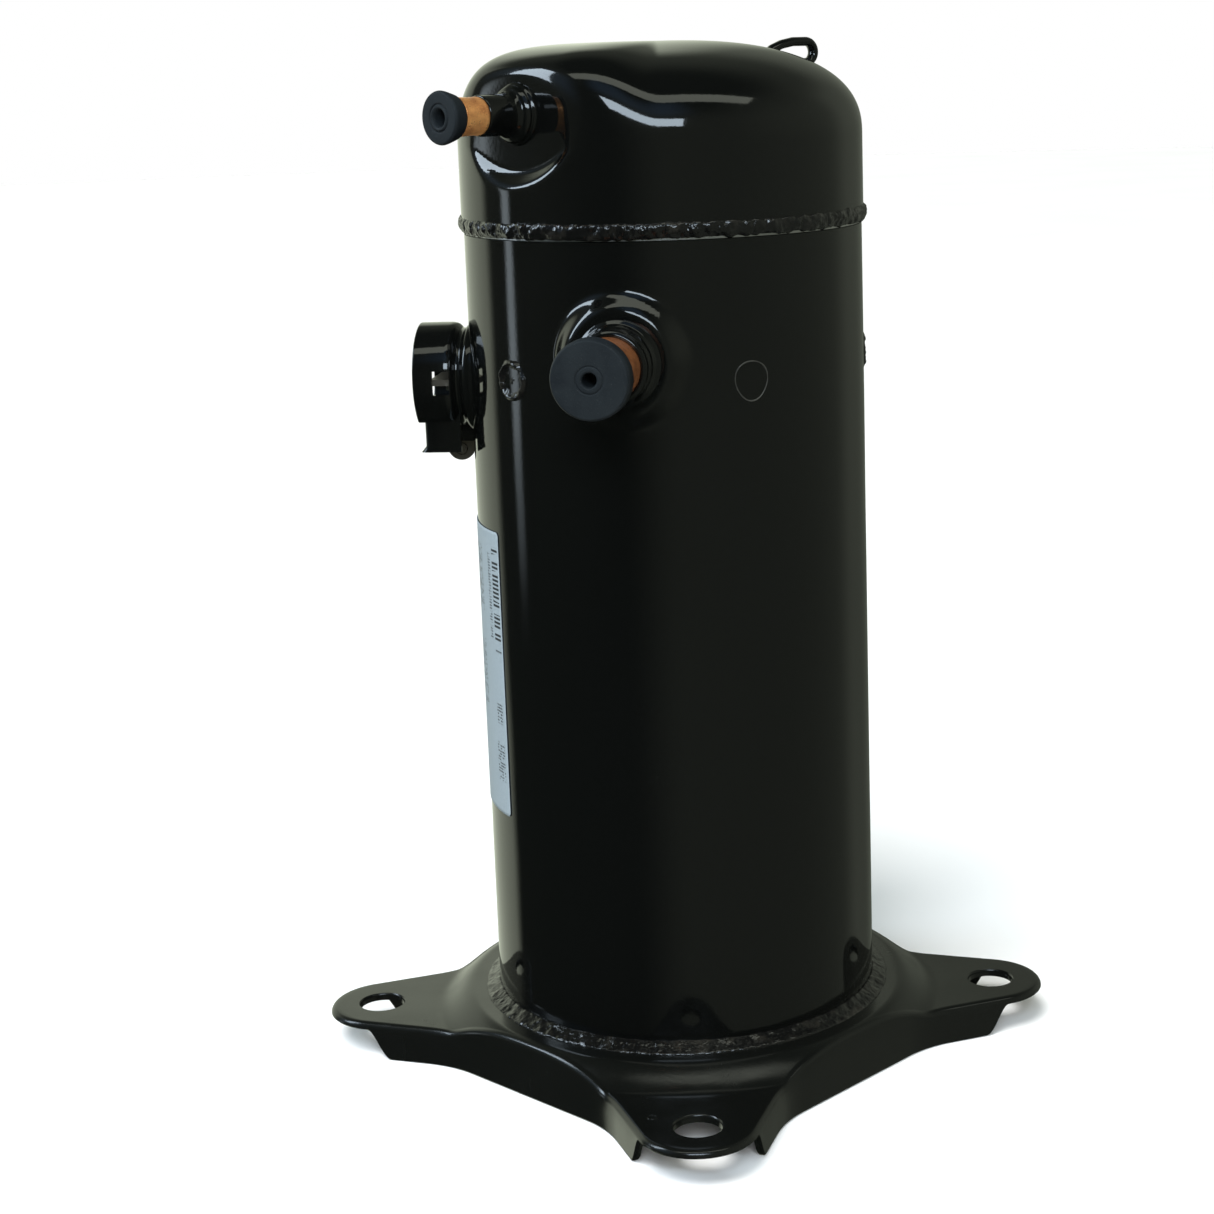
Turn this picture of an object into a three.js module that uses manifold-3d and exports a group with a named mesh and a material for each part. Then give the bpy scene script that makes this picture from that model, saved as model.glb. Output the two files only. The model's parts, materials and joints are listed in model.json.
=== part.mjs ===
// Hermetic scroll compressor with a welded steel shell, standing on a four-footed base plate.
// Millimetres, +Z up. The origin is on the shell's axis, on the floor under the base plate.
// The feet point along X and Y. An azimuth is measured about Z from -Y towards +X.
import * as THREE from 'three';
import { mergeVertices } from 'three/addons/utils/BufferGeometryUtils.js';
import Module from 'manifold-3d';

const wasm = await Module();
wasm.setup();

// ---- Driving dimensions ----
const GAP = 0.3; // space kept between pieces that touch
const FINE = 48; // sides of the largest round pieces
const MEDIUM = 26;
const COARSE = 16;

const SHELL_RADIUS = 82;
const WALL = 3.2;
const BORE_RADIUS = SHELL_RADIUS - WALL;
const TUBE_BOTTOM = 26.5;
const TUBE_TOP = 352;

const CAP_RADIUS = 82.8;
const CAP_SHOULDER = 388; // where the cap starts to curve in
const CAP_HEIGHT = 39;
const CAP_ROUNDNESS = 2.4; // exponent of the cap's superellipse
const PAD_ROUNDNESS = 5; // the same, above the flat pad of the discharge line
const PAD_HALF_ANGLE = 35;
const PAD_DISTANCE = 78; // from the axis to the flat pad
const PAD_FADE = [372, 382];

const FOOT_BOLT_RADIUS = 134.7; // half the diagonal of a 190.5 mm square
const FOOT_HOLE_RADIUS = 9.5;
const FOOT_TIP_RADIUS = 24;
const FOOT_TIP_REACH = 157;
const FOOT_TAPER = 18.6; // degrees, each side
const BASE_EDGE_DISTANCE = 97.4; // from the axis to the straight edge between two feet
const FOOT_TOP = 16;
const PLATFORM_TOP = 24.5;
const PLATFORM_RADIUS = 98;
const PLATFORM_FOOT_RADIUS = 104.5;

const SUCTION_AZIMUTH = -13.6;
const SUCTION_HEIGHT = 306;
const SUCTION_TUBE_RADIUS = 12;
const BOSS_FACE = 87;
const DISCHARGE_AZIMUTH = -46;
const DISCHARGE_HEIGHT = 400.5;
const DISCHARGE_TUBE_RADIUS = 6.9;

const TERMINAL_AZIMUTH = -97.5;
const TERMINAL_HEIGHT = 291;
const FENCE_RADIUS = 23.2;
const FENCE_WALL = 2;
const FENCE_RIM = 104;
const TERMINAL_RADIUS = 17;
const PIN_CIRCLE = 7;

const LABEL_AZIMUTHS = [-110, -61];
const LABEL_HEIGHTS = [112, 233];
const EYE_AZIMUTH = 125;
const EYE_END = [78, 420.8];
const EYE_OUTER_RADIUS = 6.2;
const EYE_SLOT_RADIUS = 2.6;

const ARM_AZIMUTH = 22.3; // the first of five frame arms
const ARM_COUNT = 5;
const ARM_HALF_WIDTH = 13;
const BOLT_CIRCLE = 73.2;
const BOLT_RADIUS = 3;
const BOLT_HEAD_RADIUS = 5;

const ORBIT = 5; // throw of the crank pin
const WRAP_WALL = 4;
const WRAP_CLEARANCE = 0.6; // taken off the thickness of each wrap
const WRAP_PITCH = 2 * (ORBIT + WRAP_WALL);
const WRAP_RADII = [10, 54];
const WRAP_STEP = 11; // degrees between the points of a wrap
const FRAME_TOP = 306;
const ORBIT_BASE = [308.6, 317];
const WRAP_TOP = 341.2;
const ROOF = [341.5, 349];
const SKIRT_RADII = [66, 69];

const SHAFT_RADIUS = 15;
const PIN_RADIUS = 8;
const BUSH_RADIUS = 12;
const ROTOR_RADIUS = 37.8;
const ROTOR_HEIGHTS = [112, 210];
const STATOR_BORE = 38.6;
const STATOR_HEIGHTS = [110, 212];
const WINDING_RADII = [43, 66];

// ---- Materials ----
function finish(color, roughness, metalness) {
  return { color, roughness, metalness };
}
const BLACK_ENAMEL = finish(0x0c0d0e, 0.12, 0);
const WELD = finish(0x121212, 0.3, 0.2);
const COPPER = finish(0xa8613e, 0.35, 1);
const RUBBER = finish(0x2c3134, 0.8, 0);
const PAPER = finish(0xaab4bd, 0.6, 0);
const STEEL = finish(0x9a9c9f, 0.35, 1);
const PLATED = finish(0x85807a, 0.45, 1);
const CAST_IRON = finish(0x4b4d50, 0.6, 0.8);
const ALUMINIUM = finish(0xb9bcc0, 0.4, 1);
const BRONZE = finish(0x9d7a45, 0.4, 1);
const WINDING = finish(0x8c4a22, 0.4, 0.6);
const GLASS_SEAL = finish(0x2e3a34, 0.2, 0);
const MOULDED = finish(0x3a3d40, 0.5, 0);

// ---- Solids ----
const radians = THREE.MathUtils.degToRad;

function volume(vertices, triangles) {
  const corner = [new THREE.Vector3(), new THREE.Vector3(), new THREE.Vector3()];
  let total = 0;
  for (let i = 0; i < triangles.length; i += 3) {
    corner.forEach((point, k) => point.fromArray(vertices, 3 * triangles[i + k]));
    total += corner[0].dot(corner[1].cross(corner[2]));
  }
  return total / 6;
}

// Turns a closed surface into a solid that can be joined and cut.
function solid(geometry) {
  const bare = geometry.clone();
  bare.deleteAttribute('normal');
  bare.deleteAttribute('uv');
  const merged = mergeVertices(bare, 1e-4);
  const index = merged.index.array;
  const triangles = [];
  for (let i = 0; i < index.length; i += 3) {
    const [a, b, c] = index.slice(i, i + 3);
    if (a !== b && b !== c && c !== a) triangles.push(a, b, c);
  }
  const vertProperties = Float32Array.from(merged.attributes.position.array);
  if (volume(vertProperties, triangles) < 0) triangles.reverse();
  const mesh = new wasm.Mesh({ numProp: 3, vertProperties, triVerts: Uint32Array.from(triangles) });
  return new wasm.Manifold(mesh);
}

function surface(body) {
  const { vertProperties, triVerts } = body.getMesh();
  const geometry = new THREE.BufferGeometry();
  geometry.setAttribute('position', new THREE.BufferAttribute(vertProperties, 3));
  geometry.setIndex(new THREE.BufferAttribute(triVerts, 1));
  geometry.computeVertexNormals();
  return geometry;
}

function join(...bodies) {
  return bodies.reduce((whole, body) => whole.add(body));
}

function cut(body, ...tools) {
  return tools.reduce((rest, tool) => rest.subtract(tool), body);
}

// A profile of [radius, height] points turned about Z. It closes on itself or on the axis.
function latheGeometry(profile, sides) {
  const points = profile.map(([r, h]) => new THREE.Vector2(r, h));
  if (profile[0][0] > 0) points.push(points[0].clone());
  return new THREE.LatheGeometry(points, sides).rotateX(Math.PI / 2);
}

function turned(profile, sides = MEDIUM) {
  return solid(latheGeometry(profile, sides));
}

// The same, turned about X, with [radius, distance along X] points.
function turnedAlongX(profile, sides = COARSE) {
  return solid(latheGeometry(profile, sides).rotateY(Math.PI / 2));
}

function cylinder(radius, bottom, top, sides = MEDIUM, x = 0, y = 0) {
  const profile = [[0, bottom], [radius, bottom], [radius, top], [0, top]];
  return solid(latheGeometry(profile, sides).translate(x, y, 0));
}

function ring(inner, outer, bottom, top, sides = MEDIUM, x = 0) {
  const profile = [[inner, bottom], [outer, bottom], [outer, top], [inner, top]];
  return solid(latheGeometry(profile, sides).translate(x, 0, 0));
}

function rod(radius, start, end, sides = COARSE) {
  return turnedAlongX([[0, start], [radius, start], [radius, end], [0, end]], sides);
}

function block([x0, x1], [y0, y1], [z0, z1]) {
  const geometry = new THREE.BoxGeometry(x1 - x0, y1 - y0, z1 - z0);
  return solid(geometry.translate((x0 + x1) / 2, (y0 + y1) / 2, (z0 + z1) / 2));
}

function prism(shape, bottom, top, curveSegments = 12) {
  const options = { depth: top - bottom, bevelEnabled: false, curveSegments };
  return solid(new THREE.ExtrudeGeometry(shape, options).translate(0, 0, bottom));
}

// An outline in the XZ plane, given thickness along Y.
function upright(shape, back, front) {
  const geometry = new THREE.ExtrudeGeometry(shape, { depth: front - back, bevelEnabled: false });
  return solid(geometry.rotateX(Math.PI / 2).translate(0, front, 0));
}

function turnedAlongY(radius, back, front) {
  const profile = [[0, back], [radius, back], [radius, front], [0, front]];
  return solid(latheGeometry(profile, 12).rotateX(-Math.PI / 2));
}

function atPlace(body, place) {
  return solid(surface(body).translate(...place));
}

// Moves a solid drawn with X outwards to its azimuth and height on the shell.
function outward(body, azimuth, height = 0) {
  const turn = new THREE.Matrix4().makeRotationZ(radians(azimuth - 90)).setPosition(0, 0, height);
  return solid(surface(body).applyMatrix4(turn));
}

function around(count, make) {
  return Array.from({ length: count }, (_, k) => make(k));
}

// ---- The assembly ----
const compressor = new THREE.Group();

function add(name, look, body, parent = compressor) {
  const mesh = new THREE.Mesh(surface(body), new THREE.MeshStandardMaterial(look));
  mesh.name = name;
  parent.add(mesh);
  return mesh;
}

// A group for the pieces of one line, drawn with X outwards and the height as its origin.
function radialGroup(azimuth, height) {
  const group = new THREE.Group();
  group.rotation.z = radians(azimuth - 90);
  group.position.z = height;
  compressor.add(group);
  return group;
}

// ---- Base plate: four tapered feet, straight edges between them, a turned-down flange ----
function baseOutline(inset) {
  const taper = radians(FOOT_TAPER);
  const tip = FOOT_TIP_RADIUS - inset;
  const centre = FOOT_TIP_REACH - FOOT_TIP_RADIUS;
  const touch = [centre + tip * Math.sin(taper), tip * Math.cos(taper)];
  const reach = (BASE_EDGE_DISTANCE - inset) * Math.SQRT2;
  const along = (reach - touch[1] - touch[0] * Math.tan(taper)) / (1 - Math.tan(taper));
  const corner = [along, reach - along];
  const steps = 8;
  const points = [];
  for (let foot = 0; foot < 4; foot += 1) {
    const quarter = (foot * Math.PI) / 2;
    const place = (u, v) => {
      points.push(new THREE.Vector2(u, v).rotateAround(new THREE.Vector2(), quarter));
    };
    place(corner[0], -corner[1]);
    for (let k = 0; k <= steps; k += 1) {
      const turn = (Math.PI / 2 - taper) * ((2 * k) / steps - 1);
      place(centre + tip * Math.cos(turn), tip * Math.sin(turn));
    }
    place(corner[0], corner[1]);
  }
  return new THREE.Shape(points);
}

// The space under the plate's upper face, lowered by the sheet's thickness for its inside.
function underPlate(drop, bottom) {
  const run = drop * 0.6; // keeps the sloping ring as thick as the sheet
  return turned([
    [0, bottom],
    [200, bottom],
    [200, FOOT_TOP - drop],
    [PLATFORM_FOOT_RADIUS - run, FOOT_TOP - drop],
    [PLATFORM_RADIUS - run, PLATFORM_TOP - drop],
    [0, PLATFORM_TOP - drop],
  ], FINE);
}

function basePlate() {
  const outside = prism(baseOutline(0), 0, 40).intersect(underPlate(0, 0));
  const inside = prism(baseOutline(WALL), -1, 40).intersect(underPlate(WALL, -1));
  const tray = cut(outside, inside, cylinder(SHELL_RADIUS + GAP, -1, 40, FINE));
  const holes = around(4, (k) => outward(
    cylinder(FOOT_HOLE_RADIUS, 5, 30, COARSE, FOOT_BOLT_RADIUS), 90 * k,
  ));
  // The flange ends in a slanted cut before the rounded tip of each foot.
  const slant = new THREE.Shape([
    new THREE.Vector2(130, -1),
    new THREE.Vector2(139, FOOT_TOP - WALL),
    new THREE.Vector2(170, FOOT_TOP - WALL),
    new THREE.Vector2(170, -1),
  ]);
  const slantBody = upright(slant, -40, 40);
  const tips = around(4, (k) => outward(slantBody, 90 * k));
  return cut(tray, ...holes, ...tips);
}
add('base_plate', BLACK_ENAMEL, basePlate());

add('bottom_cap', BLACK_ENAMEL, turned([
  [0, 5], [50, 7.2], [72, 12.5], [80, 18], [SHELL_RADIUS, 22.5], [SHELL_RADIUS, 26.2],
  [BORE_RADIUS - GAP, 26.2], [BORE_RADIUS - GAP, 38], [75.3, 38], [75.3, 22.5], [70, 15.6],
  [48, 10.4], [0, 8.2],
], FINE));

add('lower_weld', WELD, turned([
  [SHELL_RADIUS + GAP, PLATFORM_TOP + GAP], [89.5, PLATFORM_TOP + GAP], [88.4, 26.4], [85.5, 27.8],
  [SHELL_RADIUS + GAP, 28.6],
], FINE));

// ---- Shell tube with the raised suction boss and the terminal opening ----
function shellTube() {
  const boss = turnedAlongX([
    [0, 70], [27.5, 70], [27.5, 81], [25.5, 84], [22, BOSS_FACE], [0, BOSS_FACE],
  ]);
  const body = join(
    cylinder(SHELL_RADIUS, TUBE_BOTTOM, TUBE_TOP, FINE),
    outward(boss, SUCTION_AZIMUTH, SUCTION_HEIGHT),
  );
  return cut(
    body,
    cylinder(BORE_RADIUS, 0, 400, FINE),
    outward(rod(SUCTION_TUBE_RADIUS + GAP, 60, 100), SUCTION_AZIMUTH, SUCTION_HEIGHT),
    outward(rod(TERMINAL_RADIUS + GAP, 60, 100), TERMINAL_AZIMUTH, TERMINAL_HEIGHT),
  );
}
add('shell_tube', BLACK_ENAMEL, shellTube());

// ---- Top cap: a superellipse dome, boxier and flattened where the discharge line leaves ----
function smooth(edge0, edge1, value) {
  return THREE.MathUtils.smoothstep(value, edge0, edge1);
}

function capPoint(azimuth, rise, inset) {
  const away = Math.abs(azimuth - DISCHARGE_AZIMUTH) % 360;
  const apart = Math.min(away, 360 - away);
  const blend = 1 - smooth(0, PAD_HALF_ANGLE * 1.5, apart);
  const exponent = 2 / THREE.MathUtils.lerp(CAP_ROUNDNESS, PAD_ROUNDNESS, blend);
  const r = (CAP_RADIUS - inset) * Math.max(Math.cos(rise), 0) ** exponent;
  const z = CAP_SHOULDER + (CAP_HEIGHT - inset) * Math.sin(rise) ** exponent;
  return padded(r * Math.sin(radians(azimuth)), -r * Math.cos(radians(azimuth)), z, inset);
}

// Pushes a point back to the flat pad, softly at the pad's edges.
function padded(x, y, z, inset) {
  const direction = [Math.sin(radians(DISCHARGE_AZIMUTH)), -Math.cos(radians(DISCHARGE_AZIMUTH))];
  const reach = x * direction[0] + y * direction[1];
  const limit = THREE.MathUtils.lerp(CAP_RADIUS + 4, PAD_DISTANCE, smooth(...PAD_FADE, z)) - inset;
  const softness = 1.5;
  const over = Math.log(1 + Math.exp((reach - limit) / softness)) * softness;
  const back = Math.min(over, Math.max(reach - limit + softness, 0));
  return new THREE.Vector3(x - back * direction[0], y - back * direction[1], z);
}

function capDome(inset, bottom) {
  const turns = 40;
  const rises = [0, 18, 36, 52, 68, 82].map((angle) => radians(angle));
  const rows = [bottom, ...PAD_FADE].map((z) => around(turns, (k) => {
    const azimuth = (360 * k) / turns;
    const r = CAP_RADIUS - inset;
    return padded(r * Math.sin(radians(azimuth)), -r * Math.cos(radians(azimuth)), z, inset);
  }));
  rises.forEach((rise) => rows.push(around(turns, (k) => capPoint((360 * k) / turns, rise, inset))));
  const points = rows.flat();
  const centre = points.push(new THREE.Vector3(0, 0, bottom)) - 1;
  const top = points.push(new THREE.Vector3(0, 0, CAP_SHOULDER + CAP_HEIGHT - inset)) - 1;
  const faces = [];
  for (let k = 0; k < turns; k += 1) {
    const next = (k + 1) % turns;
    faces.push(centre, next, k);
    for (let row = 0; row + 1 < rows.length; row += 1) {
      const [low, high] = [row * turns, (row + 1) * turns];
      faces.push(low + k, low + next, high + next, low + k, high + next, high + k);
    }
    const last = (rows.length - 1) * turns;
    faces.push(last + k, last + next, top);
  }
  const geometry = new THREE.BufferGeometry().setFromPoints(points);
  geometry.setIndex(faces);
  return solid(geometry);
}

const CAP_RIM = 355.8;
const capOutside = capDome(0, CAP_RIM);
add('top_cap', BLACK_ENAMEL, cut(
  capOutside,
  capDome(WALL, CAP_RIM - 5),
  outward(rod(DISCHARGE_TUBE_RADIUS + GAP, 55, 100, COARSE), DISCHARGE_AZIMUTH, DISCHARGE_HEIGHT),
));

add('upper_weld', WELD, turned([
  [SHELL_RADIUS + GAP, 352.1], [84.3, 352.7], [85.6, 355.9], [84.7, 359], [CAP_RADIUS + GAP, 359.9],
  [CAP_RADIUS + GAP, CAP_RIM - 0.2], [SHELL_RADIUS + GAP, CAP_RIM - 0.2],
], FINE));

const SEPARATOR = [TUBE_TOP + GAP, CAP_RIM - GAP];
const VALVE_PORT_RADIUS = 7;
const RELIEF_PLACE = [34, 22];
add('separator_plate', STEEL, ring(VALVE_PORT_RADIUS, SHELL_RADIUS, ...SEPARATOR, FINE));

// ---- Lifting eye on the shoulder of the cap ----
function liftingEye() {
  const outline = new THREE.Shape();
  outline.moveTo(50, 408);
  outline.lineTo(70, 406);
  outline.absarc(EYE_END[0], EYE_END[1], EYE_OUTER_RADIUS, -Math.PI * 0.45, Math.PI * 0.52, false);
  outline.lineTo(56, 423);
  const slot = new THREE.Path();
  slot.absarc(EYE_END[0] - 1, EYE_END[1], EYE_SLOT_RADIUS, -Math.PI / 2, Math.PI / 2, false);
  slot.absarc(EYE_END[0] - 9, EYE_END[1], EYE_SLOT_RADIUS, Math.PI / 2, Math.PI * 1.5, false);
  outline.holes.push(slot);
  return cut(outward(upright(outline, -2.5, 2.5), EYE_AZIMUTH), capDome(-GAP, CAP_RIM));
}
add('lifting_eye', BLACK_ENAMEL, liftingEye());

// ---- Suction line ----
const suction = radialGroup(SUCTION_AZIMUTH, SUCTION_HEIGHT);
const SUCTION_END = 124;
add('suction_collar', BLACK_ENAMEL, turnedAlongX([
  [SUCTION_TUBE_RADIUS + GAP, BOSS_FACE + GAP], [16, BOSS_FACE + GAP], [15, 90], [14, 91],
  [14, 95], [13.2, 95.6], [14, 96.2], [14, 99], [SUCTION_TUBE_RADIUS + GAP, 99],
]), suction);
add('suction_stub', COPPER, turnedAlongX([
  [10.8, 74], [SUCTION_TUBE_RADIUS, 74], [SUCTION_TUBE_RADIUS, SUCTION_END], [10.8, SUCTION_END],
]), suction);
add('suction_plug', RUBBER, turnedAlongX([
  [0, 109], [9.6, 109], [10.5, 111], [10.5, SUCTION_END + GAP], [15.3, SUCTION_END + GAP],
  [15.3, 130.8], [14.3, 132], [3.15, 132], [3.15, 119], [0, 119],
]), suction);

// ---- Discharge line ----
const discharge = radialGroup(DISCHARGE_AZIMUTH, DISCHARGE_HEIGHT);
const DISCHARGE_END = 109;
add('discharge_fitting', BLACK_ENAMEL, turnedAlongX([
  [7.2, PAD_DISTANCE + GAP], [11.5, PAD_DISTANCE + GAP], [11.5, 81.6], [9.4, 82.6], [7.9, 84],
  [7.9, 97.5], [7.2, 97.5],
], COARSE), discharge);
add('discharge_stub', COPPER, turnedAlongX([
  [6.2, 72], [DISCHARGE_TUBE_RADIUS, 72], [DISCHARGE_TUBE_RADIUS, 97.8], [7.35, 97.8],
  [7.35, DISCHARGE_END], [6.2, DISCHARGE_END],
], COARSE), discharge);
add('discharge_plug', RUBBER, turnedAlongX([
  [0, 97], [5.2, 97], [5.9, 98.5], [5.9, DISCHARGE_END + GAP], [10.25, DISCHARGE_END + GAP],
  [10.25, 116], [9.3, 117], [3.5, 117], [3.5, 107], [0, 107],
], COARSE), discharge);

// ---- Terminal housing ----
const terminal = radialGroup(TERMINAL_AZIMUTH, TERMINAL_HEIGHT);
const CHUTE = { x: [86.7, 101.4], y: [-15.5, 15.5], z: [-30, -12] };
const CHUTE_WALL = 1.6;
const WINDOW = { x: [88.6, 95.8], z: [-5, 5] };
function terminalFence() {
  const inner = FENCE_RADIUS - FENCE_WALL;
  const drum = turnedAlongX([
    [inner, FENCE_RIM], [FENCE_RADIUS, FENCE_RIM], [FENCE_RADIUS, 87.5], [FENCE_RADIUS - 1.8, 85.6],
    [FENCE_RADIUS, 83], [FENCE_RADIUS, 70], [inner - 1.8, 70], [inner - 1.8, 85.6], [inner, 87.5],
  ], MEDIUM);
  // The wire chute under the drum is open at its foot, where its outer wall turns out in a lip.
  const lip = new THREE.Shape([
    new THREE.Vector2(CHUTE.x[1] - CHUTE_WALL, CHUTE.z[0] + 4),
    new THREE.Vector2(CHUTE.x[1], CHUTE.z[0] + 4),
    new THREE.Vector2(CHUTE.x[1] + 2.2, CHUTE.z[0]),
    new THREE.Vector2(CHUTE.x[1] - CHUTE_WALL, CHUTE.z[0]),
  ]);
  const chute = join(
    block(CHUTE.x, CHUTE.y, CHUTE.z),
    upright(lip, ...CHUTE.y),
  );
  const passage = block(
    [60, CHUTE.x[1] - CHUTE_WALL],
    [CHUTE.y[0] + CHUTE_WALL, CHUTE.y[1] - CHUTE_WALL],
    [-60, -9],
  );
  const windows = [-1, 1].map((side) => block(
    WINDOW.x, [side * 22 - 6, side * 22 + 6], WINDOW.z,
  ));
  const room = rod(inner, 87.5, FENCE_RIM + 5, MEDIUM);
  const shell = cylinder(SHELL_RADIUS + GAP, -60, 60, FINE);
  return cut(join(drum, chute), passage, room, shell, ...windows);
}
add('terminal_fence', BLACK_ENAMEL, terminalFence(), terminal);
add('fence_strap', PLATED, block([88, 97], [-20.6, 20.6], [-1.3, 1.3]), terminal);

const pinPlaces = around(3, (k) => [
  PIN_CIRCLE * Math.sin(radians(120 * k)),
  PIN_CIRCLE * Math.cos(radians(120 * k)),
]);
const pinHoles = pinPlaces.map((place) => atPlace(rod(2, 60, 100, 12), [0, ...place]));
add('terminal_base', GLASS_SEAL, cut(
  turnedAlongX([[0, 76.5], [TERMINAL_RADIUS, 76.5], [TERMINAL_RADIUS, 82], [14, 84], [0, 84]], COARSE),
  ...pinHoles,
), terminal);
const clusterBlock = block([70.2, 76.2], [-11.5, 11.5], [-11.5, 11.5]);
add('terminal_cluster', MOULDED, cut(clusterBlock, ...pinHoles), terminal);
pinPlaces.forEach((place, k) => {
  add(`terminal_pin_${k + 1}`, PLATED, atPlace(rod(1.7, 71.5, 93, 12), [0, ...place]), terminal);
});

// The earth lug hangs behind the chute, with its screw through it.
const LUG = { y: [-17.4, -15.8], screw: [92.4, -33.6] };
function groundTab() {
  const [x, z] = LUG.screw;
  const outline = new THREE.Shape();
  outline.moveTo(70, -20);
  outline.lineTo(x + 6, -20);
  outline.absarc(x, z + 1, 6, 0, -Math.PI, true);
  outline.lineTo(70, z + 1);
  const tab = upright(outline, ...LUG.y);
  const hole = atPlace(turnedAlongY(2.8, -20, 0), [x, 0, z]);
  return cut(tab, hole, cylinder(SHELL_RADIUS + GAP, -60, 0, FINE));
}
function groundScrew() {
  const [x, z] = LUG.screw;
  const screw = join(
    turnedAlongY(2.4, LUG.y[0] - 1, LUG.y[1] + 0.1),
    turnedAlongY(4.2, LUG.y[0] - 3, LUG.y[0] - GAP),
  );
  return atPlace(screw, [x, 0, z]);
}
add('ground_tab', PLATED, groundTab(), terminal);
add('ground_screw', PLATED, groundScrew(), terminal);

// ---- Rating label: a thin sheet wrapped on the shell ----
function nameplate() {
  const [from, to] = LABEL_AZIMUTHS.map((azimuth) => radians(azimuth - 90));
  const sheet = new THREE.Shape();
  sheet.absarc(0, 0, SHELL_RADIUS + 0.7, from, to, false);
  sheet.absarc(0, 0, SHELL_RADIUS + GAP, to, from, true);
  return prism(sheet, ...LABEL_HEIGHTS, 16);
}
add('nameplate', PAPER, nameplate());

// ---- Main frame: bearing hub, thrust face, Oldham pocket and five welded arms ----
const armAzimuths = around(ARM_COUNT, (k) => ARM_AZIMUTH + (360 / ARM_COUNT) * k);
const boltHoles = (radius, bottom, top) => armAzimuths.map((azimuth) => outward(
  cylinder(radius, bottom, top, 12, BOLT_CIRCLE), azimuth,
));
const HUB_BOTTOM = 262;
const POCKET_FLOOR = 302.5;
const HUB_POCKET = [286, 27];
function mainFrame() {
  const disc = turned([
    [0, HUB_BOTTOM], [27, HUB_BOTTOM], [32, 280], [58, 294], [SKIRT_RADII[1], 294],
    [SKIRT_RADII[1], FRAME_TOP], [0, FRAME_TOP],
  ], MEDIUM);
  const arms = armAzimuths.map((azimuth) => outward(
    block([50, 90], [-ARM_HALF_WIDTH, ARM_HALF_WIDTH], [292, FRAME_TOP]), azimuth,
  ));
  const rim = cylinder(BORE_RADIUS - 0.5, 200, 400, FINE);
  const keyways = [-1, 1].map((side) => block(
    [side * 55 - 9.6, side * 55 + 9.6], [-5.3, 5.3], [297, FRAME_TOP + 1],
  ));
  return cut(
    join(disc, ...arms).intersect(rim),
    cylinder(18.3, 200, 300),
    cylinder(HUB_POCKET[1], HUB_POCKET[0], 320),
    ring(44.5, SKIRT_RADII[0], POCKET_FLOOR, FRAME_TOP + 1),
    ...keyways,
    ...boltHoles(BOLT_RADIUS + GAP, 295, 320),
  );
}
add('main_frame', CAST_IRON, mainFrame());
add('main_bearing', BRONZE, ring(SHAFT_RADIUS + 0.4, 18, HUB_BOTTOM + GAP, HUB_POCKET[0], COARSE));

// ---- Scroll wraps: an involute wall, the same on both scrolls ----
function wrap(bottom, top, turn) {
  const baseRadius = WRAP_PITCH / (2 * Math.PI);
  const [start, end] = WRAP_RADII.map((radius) => Math.sqrt((radius / baseRadius) ** 2 - 1));
  const steps = Math.round((end - start) / radians(WRAP_STEP));
  const half = (WRAP_WALL - WRAP_CLEARANCE) / 2;
  const face = (side) => around(steps + 1, (k) => {
    const angle = start + ((end - start) * k) / steps;
    const length = baseRadius * angle + side * half;
    return new THREE.Vector2(
      baseRadius * Math.cos(angle) + length * Math.sin(angle),
      baseRadius * Math.sin(angle) - length * Math.cos(angle),
    ).rotateAround(new THREE.Vector2(), turn);
  });
  return prism(new THREE.Shape([...face(1), ...face(-1).reverse()]), bottom, top);
}

const EAR_TOP = 330;
function fixedScroll() {
  const body = join(
    cylinder(SKIRT_RADII[1], ...ROOF, MEDIUM),
    ring(...SKIRT_RADII, FRAME_TOP + GAP, ROOF[0] + 1, MEDIUM),
    ...armAzimuths.map((azimuth) => outward(
      block([67, 77.5], [-9, 9], [FRAME_TOP + GAP, EAR_TOP]), azimuth,
    )),
  );
  const trimmed = cut(
    body.intersect(cylinder(BORE_RADIUS - 0.5, 200, 400, FINE)),
    cylinder(5, 330, 360, 16),
    ring(29.7, 38.3, 345, 360, MEDIUM),
    outward(block([60, 80], [-14, 14], [318, 339]), SUCTION_AZIMUTH),
    ...boltHoles(BOLT_RADIUS + GAP, 300, EAR_TOP + 1),
    ...boltHoles(BOLT_HEAD_RADIUS + GAP, EAR_TOP, ROOF[0]),
  );
  return join(trimmed, wrap(ORBIT_BASE[1] + GAP, ROOF[0] + 1, 0));
}
add('fixed_scroll', CAST_IRON, fixedScroll());
add('floating_seal', STEEL, ring(30.1, 37.9, 345.4, TUBE_TOP, MEDIUM));

armAzimuths.forEach((azimuth, k) => {
  const bolt = join(
    cylinder(BOLT_RADIUS, 296, EAR_TOP + 1, 12),
    cylinder(BOLT_HEAD_RADIUS, EAR_TOP + GAP, 336, 12),
  );
  add(`scroll_bolt_${k + 1}`, PLATED, outward(atPlace(bolt, [BOLT_CIRCLE, 0, 0]), azimuth));
});

// ---- Orbiting scroll, its bearing and the crank pin's drive bush ----
const crankPin = new THREE.Group();
crankPin.position.x = ORBIT;
compressor.add(crankPin);

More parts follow.
